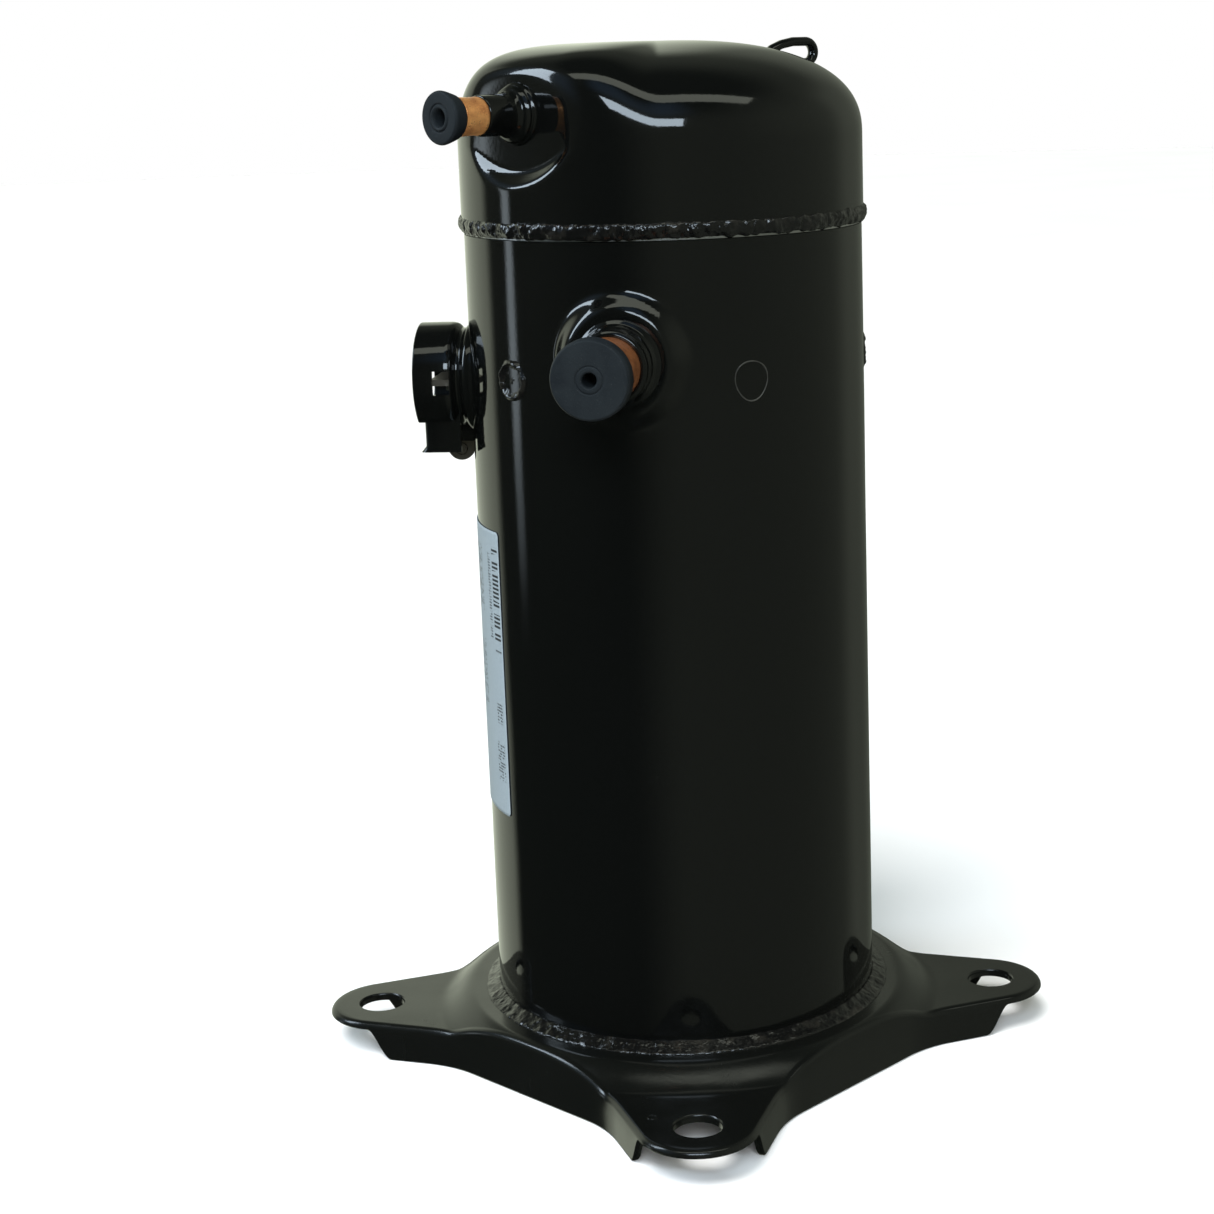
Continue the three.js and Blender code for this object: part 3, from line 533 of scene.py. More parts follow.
# %% Turned pieces
def lathe(name, profile, material, place=None, corner=0.4, sides=96, steps=4):
    """A closed (radius, distance) outline turned about X, or about Z when place is None."""
    outline = rounded(profile, corner, steps)
    vertices = []
    for radius, along in outline:
        for k in range(sides):
            angle = 2 * math.pi * k / sides
            across = (radius * math.sin(angle), -radius * math.cos(angle))
            point = Vector((*across, along)) if place is None else place @ Vector((along, *across))
            vertices.append(point)
    return finish_mesh(name, vertices, loft_faces(len(outline), sides, True), material)


def settle(piece, body, slot, *nodes):
    """Rides the finished piece on its body and lets it stand for its plain nodes."""
    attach(piece, body)
    if nodes:
        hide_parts(*nodes)
    print(piece.name, len(piece.data.polygons), "faces on", body)


print("a square with rounded corners has", len(rounded([(0, 0), (1, 0), (1, 1), (0, 1)], 0.2)), "points")

# %% [markdown]
# ## Cuts
# Bolt holes, windows and bores are drilled or punched after the sheet is formed, and they are
# cut here in the same order, with an exact Boolean. Modelling each hole into the loft would
# twist its loops. The result is kept as plain mesh, and its hard edges are marked by angle.

# %% Boolean cuts
def bake_modifiers(piece):
    """Turns the piece's modifiers into plain mesh."""
    graph = bpy.context.evaluated_depsgraph_get()
    mesh = bpy.data.meshes.new_from_object(piece.evaluated_get(graph))
    piece.modifiers.clear()
    piece.data = mesh


def combine(piece, operation, *tools):
    """Joins or cuts the piece with other solids, which are then removed."""
    for tool in tools:
        modifier = piece.modifiers.new(operation.lower(), "BOOLEAN")
        modifier.operation = operation
        modifier.solver = "EXACT"
        modifier.object = tool
    bake_modifiers(piece)
    for tool in tools:
        bpy.data.objects.remove(tool)


def sharpen(piece, angle=40):
    """Keeps crisp edges crisp where faces meet at more than the angle."""
    bpy.context.view_layer.objects.active = piece
    piece.data.shade_smooth()
    edit = bmesh.new()
    edit.from_mesh(piece.data)
    for edge in edit.edges:
        edge.smooth = edge.calc_face_angle(0) < math.radians(angle)
    edit.to_mesh(piece.data)
    edit.free()


print("edges stay crisp past", sharpen.__defaults__[0], "degrees unless a piece says otherwise")

# %% [markdown]
# ## Base plate
# The base is one pressed sheet: four tapered feet with a bolt hole each, a raised ring where
# the shell stands, and a flange turned down round the edge that stops short of the foot tips.
# It is a loft whose loops run round the plate: from the shell opening out over the ring, over
# the bend, down the flange, and back underneath, so the sheet is closed and has thickness.

# %% Outline of the plate
PLATE_HOLE = SHELL_RADIUS + 0.4
FOOT_BOLT_RADIUS = 134.7
FOOT_HOLE_RADIUS = 9.5
FOOT_TIP_RADIUS = 24.0
FOOT_TIP_REACH = box_mm("base_plate")[1].x
FOOT_TAPER = math.radians(18.6)
EDGE_DISTANCE = 97.4
FOOT_TOP, PLATFORM_TOP = 16.0, 24.5
PLATFORM_SLOPE = (93.5, 109.0)
BEND_RADIUS = 2.6
OUTLINE_FILLET = 12.0  # where a foot's side meets the straight edge between two feet
print("foot tip at", round(FOOT_TIP_REACH, 1), "mm from the axis")


# %% [markdown]
# One eighth of the outline is worked out from the tip's arc, the taper and the fillet. It is
# mirrored for the whole foot, turned four times, and then walked in equal steps, so that the
# loops of the loft have evenly spaced points whatever the outline's shape.

# %% Walk round the outline
def smooth_step(low, high, value):
    t = np.clip((np.asarray(value, float) - low) / (high - low), 0, 1)
    return t * t * (3 - 2 * t)


def plate_outline(samples):
    """Points round the plate at equal steps, and the outward normal at each."""
    tip_centre = FOOT_TIP_REACH - FOOT_TIP_RADIUS
    touch = (tip_centre + FOOT_TIP_RADIUS * math.sin(FOOT_TAPER), FOOT_TIP_RADIUS * math.cos(FOOT_TAPER))
    reach = EDGE_DISTANCE * math.sqrt(2)
    slope = math.tan(FOOT_TAPER)
    along = (reach - touch[1] - touch[0] * slope) / (1 - slope)
    corner = Vector((along, reach - along))
    towards_tip = (Vector(touch) - corner).normalized()
    towards_edge = Vector((-1, 1)).normalized()
    start, end = corner + towards_tip * OUTLINE_FILLET, corner + towards_edge * OUTLINE_FILLET
    half = [
        Vector((tip_centre + FOOT_TIP_RADIUS * math.cos(a), FOOT_TIP_RADIUS * math.sin(a)))
        for a in np.linspace(0, math.pi / 2 - FOOT_TAPER, 40)
    ]
    half += [
        start * (1 - t) ** 2 + corner * 2 * t * (1 - t) + end * t * t for t in np.linspace(0, 1, 14)
    ]
    foot = [Vector((p.x, -p.y)) for p in reversed(half[1:])] + half
    path = []
    for quarter in range(4):
        turn = Matrix.Rotation(quarter * math.pi / 2, 2)
        path += [turn @ p for p in foot]
    path = np.array([tuple(p) for p in path])
    closed = np.vstack([path, path[:1]])
    steps = np.r_[0, np.cumsum(np.hypot(*np.diff(closed, axis=0).T))]
    at = np.linspace(0, steps[-1], samples, endpoint=False)
    points = np.c_[np.interp(at, steps, closed[:, 0]), np.interp(at, steps, closed[:, 1])]
    tangent = np.roll(points, -2, 0) - np.roll(points, 2, 0)
    normal = np.c_[tangent[:, 1], -tangent[:, 0]]
    return points, normal / np.hypot(*normal.T)[:, None]


print("outline reaches", plate_outline(760)[0].max(0).round(2), "mm")

# %% [markdown]
# A pressed sheet has the same thickness everywhere, so its underside is its top, moved down
# and in. The flange is cut away at each foot's tip, which a smooth step along the foot gives.

# %% Loops of the plate
FLANGE_CUT = (129.5, 139.5)
FLANGE_CUT_RISE = 12.8
EDGE_ROUND = 0.6


def platform_height(points):
    radius = np.hypot(points[:, 0], points[:, 1])
    return FOOT_TOP + (PLATFORM_TOP - FOOT_TOP) * (1 - smooth_step(*PLATFORM_SLOPE, radius))


def base_plate_loops(samples=760):
    edge, normal = plate_outline(samples)
    inner_edge = edge - normal * BEND_RADIUS
    angle = np.arctan2(inner_edge[:, 1], inner_edge[:, 0])
    hole = PLATE_HOLE * np.c_[np.cos(angle), np.sin(angle)]
    top = platform_height(inner_edge)
    along = np.abs(edge).max(1)
    foot = FLANGE_CUT_RISE * smooth_step(*FLANGE_CUT, along)
    loops = []

    def add(points, heights):
        loops.append(np.c_[points, heights])

    for s in np.linspace(0, 1, 36):
        points = hole + (inner_edge - hole) * s
        add(points, platform_height(points))
    for turn in np.radians((18, 36, 54, 72, 90)):
        shift = BEND_RADIUS * (1 - math.sin(turn))
        add(edge - normal * shift, top - BEND_RADIUS * (1 - math.cos(turn)))
    wall_top = top - BEND_RADIUS
    for t in (0.35, 0.7, 1.0):
        add(edge, wall_top + (foot + EDGE_ROUND - wall_top) * t)
    add(edge - normal * EDGE_ROUND, foot)
    add(edge - normal * (WALL - EDGE_ROUND), foot)
    under = top - WALL
    add(edge - normal * WALL, np.minimum(foot + EDGE_ROUND, under))
    add(edge - normal * WALL, under)
    inside = edge - normal * (WALL + 0.4)
    for s in np.linspace(0, 1, 14):
        points = inside + (hole - inside) * s
        add(points, platform_height(points) - WALL)
    return loops


plate_loops = base_plate_loops()
base_plate = finish_mesh(
    "base_plate_skin", np.vstack(plate_loops),
    loft_faces(len(plate_loops), len(plate_loops[0]), True), PLATE_ENAMEL,
)
print("plate loops", len(plate_loops))


# %% [markdown]
# Each foot has a punched bolt hole with a slightly rolled lip, and the front foot has a small
# ring stamped into it. The holes are cut with a turned tool that flares at the top. The ring is
# a raised line half sunk in the plate, because it is far too small to be worth cutting.

# %% Bolt holes and the stamped mark
TOOL_LOW, TOOL_HIGH = 8.0, 19.0
LIP = 0.9
STAMP = [(1.5, 15.6), (2.1, 15.6), (2.1, 16.3), (1.5, 16.3)]
STAMP_PLACE = Vector((-17.5, -126.0, 0)) * MM


def hole_cutter(azimuth, sides=72):
    flared = FOOT_HOLE_RADIUS + LIP
    outline = [
        (0, TOOL_LOW), (FOOT_HOLE_RADIUS, TOOL_LOW), (FOOT_HOLE_RADIUS, FOOT_TOP - LIP),
        (FOOT_HOLE_RADIUS + 0.25, FOOT_TOP - 0.3), (flared, FOOT_TOP + 0.2), (flared, TOOL_HIGH),
        (0, TOOL_HIGH),
    ]
    centre = outward(azimuth) @ Vector((FOOT_BOLT_RADIUS, 0, 0))
    turns = [2 * math.pi * k / sides for k in range(sides)]
    vertices = [
        centre + Vector((radius * math.cos(turn), radius * math.sin(turn), height))
        for radius, height in outline for turn in turns
    ]
    return finish_mesh("hole_cutter", vertices, loft_faces(len(outline), sides), PLATE_ENAMEL)


combine(base_plate, "DIFFERENCE", *(hole_cutter(90 * k) for k in range(4)))
sharpen(base_plate, 35)
settle(base_plate, "housing", "enamel", "base_plate")
stamp = lathe("foot_stamp", STAMP, PLATE_ENAMEL, None, 0.2, 32, 3)
stamp.data.transform(Matrix.Translation(STAMP_PLACE))
settle(stamp, "housing", "enamel")

# %% [markdown]
# ## Shell tube
# The tube is rolled and welded sheet with one raised, flat-faced boss where the suction stub
# enters. Its outside is a grid on the cylinder; points near the boss are moved out towards the
# flat face by a smooth step, which gives the soft shoulder of a pressed boss. Very small, slow
# waves keep the reflections alive, as on any tube of thin steel.

# %% The tube's outer wall
BOSS_FACE = 87.0
BOSS_FLAT, BOSS_FOOT = 19.5, 28.5


def shell_waves(azimuth, height):
    turn = math.radians(azimuth)
    place = Vector((math.sin(turn) * 1.1, -math.cos(turn) * 1.1, height / 95))
    return 0.10 * noise.noise(place * 1.3) + 0.05 * noise.noise(place * 3.1)


def shell_point(azimuth, height):
    apart = math.radians(azimuth - SUCTION_AZIMUTH)
    radius = SHELL_RADIUS + shell_waves(azimuth, height)
    x, y = radius * math.cos(apart), radius * math.sin(apart)
    if x > 0:
        reach = math.hypot(y, height - SUCTION_HEIGHT)
        rise = 1 - float(smooth_step(BOSS_FLAT, BOSS_FOOT, reach))
        x += (BOSS_FACE - x) * rise
    return outward(SUCTION_AZIMUTH) @ Vector((x, y, height))


def spaced(low, high, centre, spread, fine, coarse):
    """Heights from low to high, close together round the centre."""
    heights, at = [], low
    while at < high:
        heights.append(at)
        at += fine if abs(at - centre) < spread else coarse
    return heights + [high]


print("boss top at", shell_point(SUCTION_AZIMUTH, SUCTION_HEIGHT).to_tuple(1), "mm")

# %% [markdown]
# A cylinder as fine all over as it has to be at the boss would have many times the faces. The
# grid is fine only round the boss, and coarse where the tube is plain. Two bores are then
# drilled through the wall: one for the suction line and one behind the terminals.

# %% The tube
SUCTION_BORE, TERMINAL_BORE = 12.3, 17.3


def shell_tube():
    heights = spaced(TUBE_BOTTOM, TUBE_TOP, SUCTION_HEIGHT, 31, 1.3, 6.0)
    near = [SUCTION_AZIMUTH + a for a in np.arange(-24, 24, 0.8)]
    far = [SUCTION_AZIMUTH + a for a in np.arange(24, 336, 2.0)]
    azimuths = near + far
    loops = [[shell_point(a, z) for a in azimuths] for z in heights]
    for z in (TUBE_TOP, TUBE_BOTTOM):
        radius = SHELL_RADIUS - WALL
        loops.append([outward(a) @ Vector((radius, 0, z)) for a in azimuths])
    vertices = [point for loop in loops for point in loop]
    return finish_mesh("shell_tube_skin", vertices, loft_faces(len(loops), len(azimuths), True), ENAMEL)


def drill(radius, start, end, place, sides=64):
    outline = [(0.001, start), (radius, start), (radius, end), (0.001, end)]
    return lathe("drill", outline, ENAMEL, place, 0.001, sides, 1)


SUCTION = outward(SUCTION_AZIMUTH, SUCTION_HEIGHT)
DISCHARGE = outward(DISCHARGE_AZIMUTH, DISCHARGE_HEIGHT)
TERMINAL = outward(TERMINAL_AZIMUTH, TERMINAL_HEIGHT)
shell = shell_tube()
bores = [drill(SUCTION_BORE, 60, 100, SUCTION), drill(TERMINAL_BORE, 60, 100, TERMINAL)]
combine(shell, "DIFFERENCE", *bores)
sharpen(shell, 50)
settle(shell, "housing", "enamel", "shell_tube")

# %% [markdown]
# ## Top cap
# The cap is a deep-drawn dome. Its outline is a superellipse, rounder than a box and squarer
# than an ellipse. Above the discharge stub the press leaves a boxier hump and a flat pad that
# the stub is welded to; both fade into the dome, and their edges make the long highlights.

# %% The cap's shape
CAP_RADIUS = 82.8
CAP_SHOULDER = 388.0
CAP_HEIGHT = CAP_TOP - CAP_SHOULDER
CAP_ROUNDNESS, PAD_ROUNDNESS = 2.4, 5.0
PAD_HALF_ANGLE = 35.0
PAD_DISTANCE = 78.0
PAD_FADE = (22.0, 30.5)  # distances from the stub's axis
PAD_WIDENING = 0.72  # below one, the pad is wider than it is tall
PAD_SOFTNESS = 1.2


def on_pad(point, inset):
    """Pushes a point back to the flat pad, softly at the pad's edges."""
    direction = outward(DISCHARGE_AZIMUTH).to_3x3() @ Vector((1, 0, 0))
    across = point.dot(Vector((-direction.y, direction.x, 0)))
    spread = math.hypot(PAD_WIDENING * across, min(0.0, point.z - DISCHARGE_HEIGHT))
    fade = float(smooth_step(*PAD_FADE, spread))
    limit = PAD_DISTANCE + (CAP_RADIUS + 4 - PAD_DISTANCE) * fade - inset
    over = max((point.dot(direction) - limit) / PAD_SOFTNESS, -30)
    back = PAD_SOFTNESS * math.log1p(math.exp(min(over, 30)))
    return point - direction * back


def cap_point(azimuth, rise, inset=0.0):
    apart = abs((azimuth - DISCHARGE_AZIMUTH + 180) % 360 - 180)
    hump = 1 - float(smooth_step(PAD_HALF_ANGLE * 0.4, PAD_HALF_ANGLE * 1.3, apart))
    exponent = 2 / (CAP_ROUNDNESS + (PAD_ROUNDNESS - CAP_ROUNDNESS) * hump)
    radius = (CAP_RADIUS - inset) * max(math.cos(rise), 0) ** exponent
    z = CAP_SHOULDER + (CAP_HEIGHT - inset) * math.sin(rise) ** exponent
    turn = math.radians(azimuth)
    return on_pad(Vector((radius * math.sin(turn), -radius * math.cos(turn), z)), inset)


def cap_wall(azimuth, z, inset=0.0):
    turn = math.radians(azimuth)
    radius = CAP_RADIUS - inset
    return on_pad(Vector((radius * math.sin(turn), -radius * math.cos(turn), z)), inset)


print("cap shoulder at", cap_point(0, math.radians(45)).to_tuple(1), "mm")


# %% [markdown]
# The cap is a loft of rings from its rim up the straight wall, over the dome to the pole, and
# back down inside. A sculpted or subdivided cage could make the same fold, but then the pad,
# the dome and the wall would each be a guess, and here they are a few named sizes.

# %% The cap
DISCHARGE_BORE = 7.2


def top_cap():
    turns = 300
    azimuths = [360 * k / turns for k in range(turns)]
    rises = [math.radians(a) for a in np.linspace(0, 88.5, 74)]
    loops = [[cap_wall(a, z) for a in azimuths] for z in np.linspace(CAP_RIM, CAP_SHOULDER, 26)[:-1]]
    loops += [[cap_point(a, rise) for a in azimuths] for rise in rises]
    loops.append([Vector((0, 0, CAP_TOP))] * turns)
    loops.append([Vector((0, 0, CAP_TOP - WALL))] * turns)
    loops += [[cap_point(a, rise, WALL) for a in azimuths] for rise in reversed(rises[::6])]
    loops.append([cap_wall(a, CAP_RIM, WALL) for a in azimuths])
    vertices = [point for loop in loops for point in loop]
    return finish_mesh("top_cap_skin", vertices, loft_faces(len(loops), turns, True), ENAMEL)


cap = top_cap()
combine(cap, "DIFFERENCE", drill(DISCHARGE_BORE, 60, 95, DISCHARGE, 48))
sharpen(cap, 50)
settle(cap, "housing", "enamel", "top_cap")

# %% [markdown]
# ## Weld beads with Geometry Nodes
# Two girth welds close the shell. A weld bead is a row of overlapping scales, so the bead is a
# plain ring first, and a node tree then pushes its points along their normals: a sine of the
# angle round the shell makes the scales, and noise makes them uneven. The same tree serves
# both beads, with its own ripple count, height and seed.

# %% Helpers for node trees
def socket(tree, name, kind, value=None):
    item = tree.interface.new_socket(name=name, in_out="INPUT", socket_type=kind)
    if value is not None:
        item.default_value = value


def new_tree(name):
    tree = bpy.data.node_groups.new(name, "GeometryNodeTree")
    socket(tree, "Geometry", "NodeSocketGeometry")
    tree.interface.new_socket(name="Geometry", in_out="OUTPUT", socket_type="NodeSocketGeometry")
    return tree


def tree_math(tree, operation, first, second=None):
    node = tree.nodes.new("ShaderNodeMath")
    node.operation = operation
    for target, value in zip(node.inputs, (first, second)):
        if isinstance(value, (int, float)):
            target.default_value = value
        elif value is not None:
            tree.links.new(value, target)
    return node.outputs[0]


def close_tree(tree, geometry, material_socket):
    """Every tree ends by realizing its instances and setting the material."""
    realize = tree.nodes.new("GeometryNodeRealizeInstances")
    paint = tree.nodes.new("GeometryNodeSetMaterial")
    output = tree.nodes.new("NodeGroupOutput")
    tree.links.new(geometry, realize.inputs["Geometry"])
    tree.links.new(realize.outputs["Geometry"], paint.inputs["Geometry"])
    tree.links.new(material_socket, paint.inputs["Material"])
    tree.links.new(paint.outputs["Geometry"], output.inputs["Geometry"])


print("tree helpers", [f.__name__ for f in (socket, new_tree, tree_math, close_tree)])

# %% [markdown]
# The real beads aren't even: the scales stand out in some stretches and melt away in others.
# A large, slow noise switches the ripples on and off along the bead, and a fine one breaks
# them up. A displacement texture could do this too, but the tree keeps the sizes as inputs.

# %% The ripple tree
def ripple_tree():
    tree = new_tree("weld_ripples")
    socket(tree, "Ripples", "NodeSocketFloat", 150.0)
    socket(tree, "Ripple height", "NodeSocketFloat", 0.0002)
    socket(tree, "Unevenness", "NodeSocketFloat", 0.0008)
    socket(tree, "Grain", "NodeSocketFloat", 120.0)
    socket(tree, "Seed", "NodeSocketFloat", 0.0)
    socket(tree, "Material", "NodeSocketMaterial")
    given = tree.nodes.new("NodeGroupInput")
    position = tree.nodes.new("GeometryNodeInputPosition").outputs[0]
    normal = tree.nodes.new("GeometryNodeInputNormal").outputs[0]
    split = tree.nodes.new("ShaderNodeSeparateXYZ")
    tree.links.new(position, split.inputs[0])
    angle = tree_math(tree, "ARCTAN2", split.outputs["Y"], split.outputs["X"])
    lean = tree_math(tree, "MULTIPLY", split.outputs["Z"], 900.0)
    phase = tree_math(tree, "ADD", tree_math(tree, "MULTIPLY", angle, given.outputs["Ripples"]), lean)
    patches = tree.nodes.new("ShaderNodeTexNoise")
    patches.inputs["Scale"].default_value = 24
    patches.inputs["Detail"].default_value = 1
    tree.links.new(position, patches.inputs["Vector"])
    patchy = tree_math(tree, "POWER", tree_math(tree, "MULTIPLY", patches.outputs["Fac"], 1.6), 4.0)
    wave = tree_math(tree, "MULTIPLY", tree_math(tree, "SINE", phase), patchy)
    scales = tree_math(tree, "MULTIPLY", wave, given.outputs["Ripple height"])
    rough = tree.nodes.new("ShaderNodeTexNoise")
    rough.noise_dimensions = "4D"
    rough.inputs["Detail"].default_value = 5
    tree.links.new(position, rough.inputs["Vector"])
    tree.links.new(given.outputs["Seed"], rough.inputs["W"])
    tree.links.new(given.outputs["Grain"], rough.inputs["Scale"])
    centred = tree_math(tree, "SUBTRACT", rough.outputs["Fac"], 0.5)
    uneven = tree_math(tree, "MULTIPLY", centred, given.outputs["Unevenness"])
    push = tree.nodes.new("ShaderNodeVectorMath")
    push.operation = "SCALE"
    tree.links.new(normal, push.inputs[0])
    tree.links.new(tree_math(tree, "ADD", scales, uneven), push.inputs["Scale"])
    move = tree.nodes.new("GeometryNodeSetPosition")
    tree.links.new(given.outputs["Geometry"], move.inputs["Geometry"])
    tree.links.new(push.outputs[0], move.inputs["Offset"])
    close_tree(tree, move.outputs["Geometry"], given.outputs["Material"])
    return tree


def input_names(tree):
    """A modifier knows an input by its identifier, so this finds it from the name."""
    return {item.name: item.identifier for item in tree.interface.items_tree if item.in_out == "INPUT"}


def grow(piece, tree, **values):
    """Runs a node tree on the piece and keeps the result as a plain mesh."""
    modifier = piece.modifiers.new(tree.name, "NODES")
    modifier.node_group = tree
    for name, value in values.items():
        modifier[input_names(tree)[name.replace("_", " ")]] = value
    bake_modifiers(piece)


RIPPLES = ripple_tree()
print("tree inputs", list(input_names(RIPPLES)))

# %% [markdown]
# The upper bead fills the lap between cap and tube and stands proud of both. The lower one is
# a wider fillet that runs down from the tube on to the plate, and its ripples are flatter.

# %% The two girth welds
BEAD_SIDES = 1300
UPPER_WELD = [
    (SHELL_RADIUS - 0.4, 352.8), (82.5, 352.9), (83.3, 354.0), (83.8, 355.8), (83.9, 357.2),
    (83.5, 358.6), (82.5, 359.2),
]
upper_weld = lathe("upper_weld_bead", UPPER_WELD, WELD, corner=0.8, sides=BEAD_SIDES, steps=2)
grow(upper_weld, RIPPLES, Ripples=95.0, Ripple_height=0.0001, Unevenness=0.0038, Grain=230.0,
     Seed=3.0, Material=WELD)
settle(upper_weld, "housing", "weld", "upper_weld")

LOWER_WELD = [
    (SHELL_RADIUS - 0.4, 24.0), (88.2, 24.0), (88.0, 24.9), (86.6, 25.8), (84.9, 26.6), (83.5, 27.6),
    (81.8, 28.6),
]
lower_weld = lathe("lower_weld_bead", LOWER_WELD, WELD, corner=0.8, sides=BEAD_SIDES, steps=2)
grow(lower_weld, RIPPLES, Ripples=80.0, Ripple_height=0.00005, Unevenness=0.0018, Grain=170.0,
     Seed=8.0, Material=WELD)
settle(lower_weld, "housing", "weld", "lower_weld")

# %% [markdown]
# ## Plug welds
# Five round plug welds tie the bearing frame to the tube, evenly spaced round it. One nugget
# is modelled as a low crater, and a node tree puts a copy at every place and roughens it by
# noise in space, so no two come out alike. One of the five was dressed flat.

# %% The nugget
def nugget(name, rim, crater):
    """A crater lying on the shell at azimuth 90, with its foot sunk in the wall."""
    rings = [0.0, 1.2, 2.4, 3.6, 4.6, 5.6, 6.0, 6.4, 6.7, 7.0, 7.3, 7.6, 8.0, 8.4]
    sides = 64
    vertices = []
    for ring in rings:
        for k in range(sides):
            angle = 2 * math.pi * k / sides
            y, z = ring * math.cos(angle), ring * math.sin(angle)
            lift = rim * math.exp(-(ring - 7.0) ** 2)
            lift += crater * (1 - float(smooth_step(4.5, 6.4, ring)))
            sunk = 0.5 * float(smooth_step(7.6, 8.4, ring))
            radius = SHELL_RADIUS + 0.16 + lift - sunk
            turn = y / SHELL_RADIUS
            vertices.append((radius * math.cos(turn), radius * math.sin(turn), z))
    back = len(vertices)
    vertices += [(SHELL_RADIUS - 2, y, z) for _, y, z in vertices[-sides:]]
    faces = loft_faces(len(rings) + 1, sides)
    faces.append(tuple(range(back, back + sides)))
    return finish_mesh(name, vertices, faces, WELD)


rough_welds = nugget("plug_welds_rough", 1.1, -0.4)
print("one nugget has", len(rough_welds.data.polygons), "faces")

# %% [markdown]
# The places are the points of a mesh line that has no length, so each carries only its index,
# and the index times the step angle turns the copy round the shell. The noise reads where the
# copy has come to lie, so it is different on each of them.

# %% The tree that copies it
def nugget_tree():
    tree = new_tree("plug_welds")
    socket(tree, "Count", "NodeSocketInt", 1)
    socket(tree, "First angle", "NodeSocketFloat", 0.0)
    socket(tree, "Step angle", "NodeSocketFloat", 0.0)
    socket(tree, "Height", "NodeSocketFloat", 0.0)
    socket(tree, "Unevenness", "NodeSocketFloat", 0.001)
    socket(tree, "Material", "NodeSocketMaterial")
    given = tree.nodes.new("NodeGroupInput")
    line = tree.nodes.new("GeometryNodeMeshLine")
    tree.links.new(given.outputs["Count"], line.inputs["Count"])
    line.inputs["Offset"].default_value = (0, 0, 0)
    lift = tree.nodes.new("ShaderNodeCombineXYZ")
    tree.links.new(given.outputs["Height"], lift.inputs["Z"])
    tree.links.new(lift.outputs[0], line.inputs["Start Location"])
    index = tree.nodes.new("GeometryNodeInputIndex").outputs[0]
    steps = tree_math(tree, "MULTIPLY", index, given.outputs["Step angle"])
    turn = tree_math(tree, "ADD", steps, given.outputs["First angle"])
    about = tree.nodes.new("ShaderNodeCombineXYZ")
    tree.links.new(turn, about.inputs["Z"])
    place = tree.nodes.new("GeometryNodeInstanceOnPoints")
    tree.links.new(line.outputs["Mesh"], place.inputs["Points"])
    tree.links.new(given.outputs["Geometry"], place.inputs["Instance"])
    tree.links.new(about.outputs[0], place.inputs["Rotation"])
    plain = tree.nodes.new("GeometryNodeRealizeInstances")
    tree.links.new(place.outputs["Instances"], plain.inputs["Geometry"])
    rough = tree.nodes.new("ShaderNodeTexNoise")
    rough.inputs["Scale"].default_value = 260
    rough.inputs["Detail"].default_value = 4
    position = tree.nodes.new("GeometryNodeInputPosition").outputs[0]
    tree.links.new(position, rough.inputs["Vector"])
    push = tree.nodes.new("ShaderNodeVectorMath")
    push.operation = "SCALE"
    tree.links.new(tree.nodes.new("GeometryNodeInputNormal").outputs[0], push.inputs[0])
    centred = tree_math(tree, "SUBTRACT", rough.outputs["Fac"], 0.5)
    uneven = tree_math(tree, "MULTIPLY", centred, given.outputs["Unevenness"])
    tree.links.new(uneven, push.inputs["Scale"])
    move = tree.nodes.new("GeometryNodeSetPosition")
    tree.links.new(plain.outputs["Geometry"], move.inputs["Geometry"])
    tree.links.new(push.outputs[0], move.inputs["Offset"])
    close_tree(tree, move.outputs["Geometry"], given.outputs["Material"])
    return tree


NUGGETS = nugget_tree()
print("tree inputs", list(input_names(NUGGETS)))

# %% [markdown]
# Four of the welds are left as they were made. The one that faces forward was ground flush
# before painting, and all that shows of it is the thin raised line of its edge, made bright
# by a painted highlight: a lighter metal colour than the paint.

# %% Place the plug welds
PLUG_WELD_HEIGHT = 297.0
FIRST_PLUG_WELD = 22.3
PLUG_WELD_STEP = 72.0


def plug_angle(azimuth):
    return math.radians(azimuth - 90)


grow(rough_welds, NUGGETS, Count=4, First_angle=plug_angle(FIRST_PLUG_WELD + PLUG_WELD_STEP),
     Step_angle=math.radians(PLUG_WELD_STEP), Height=PLUG_WELD_HEIGHT * MM, Unevenness=0.0028,
     Material=WELD)
settle(rough_welds, "housing", "weld")


def dressed_ring():
    """What grinding leaves of a nugget: the thin raised line of its edge."""
    radius, section, around, sides = 6.9, 0.26, 96, 10
    vertices = []
    for k in range(around):
        angle = 2 * math.pi * k / around
        for j in range(sides):
            turn = 2 * math.pi * j / sides
            reach = radius + section * math.cos(turn) + 0.25 * math.sin(3 * angle)
            out = SHELL_RADIUS + 0.06 + section * 0.9 * math.sin(turn)
            y, z = reach * math.cos(angle), 1.12 * reach * math.sin(angle)
            vertices.append(Matrix.Rotation(y / SHELL_RADIUS, 3, "Z") @ Vector((out, 0, z)))
    return finish_mesh("plug_weld_dressed", vertices, loft_faces(around, sides, True), PAINTED_HIGHLIGHT_EDGE)


# The edge line's lighter metal colour is a painted highlight, not bare metal.
PAINTED_HIGHLIGHT_EDGE = worked_metal(
    "painted_highlight_weld_edge", (0.05, 0.05, 0.043), (0.012, 0.012, 0.011), 0.4, metallic=0.2,
)
flat_weld = dressed_ring()
grow(flat_weld, NUGGETS, Count=1, First_angle=plug_angle(FIRST_PLUG_WELD), Height=PLUG_WELD_HEIGHT * MM,
     Unevenness=0.0004, Material=PAINTED_HIGHLIGHT_EDGE)
settle(flat_weld, "housing", "weld")

# %% [markdown]
# ## Stubs, collars and plugs
# Each line is a copper tube in a painted collar, closed by a rubber shipping plug. All of them
# are turned shapes, so each is an outline of radius and distance from the shell's axis, with
# its corners rounded, turned about the line's own axis.

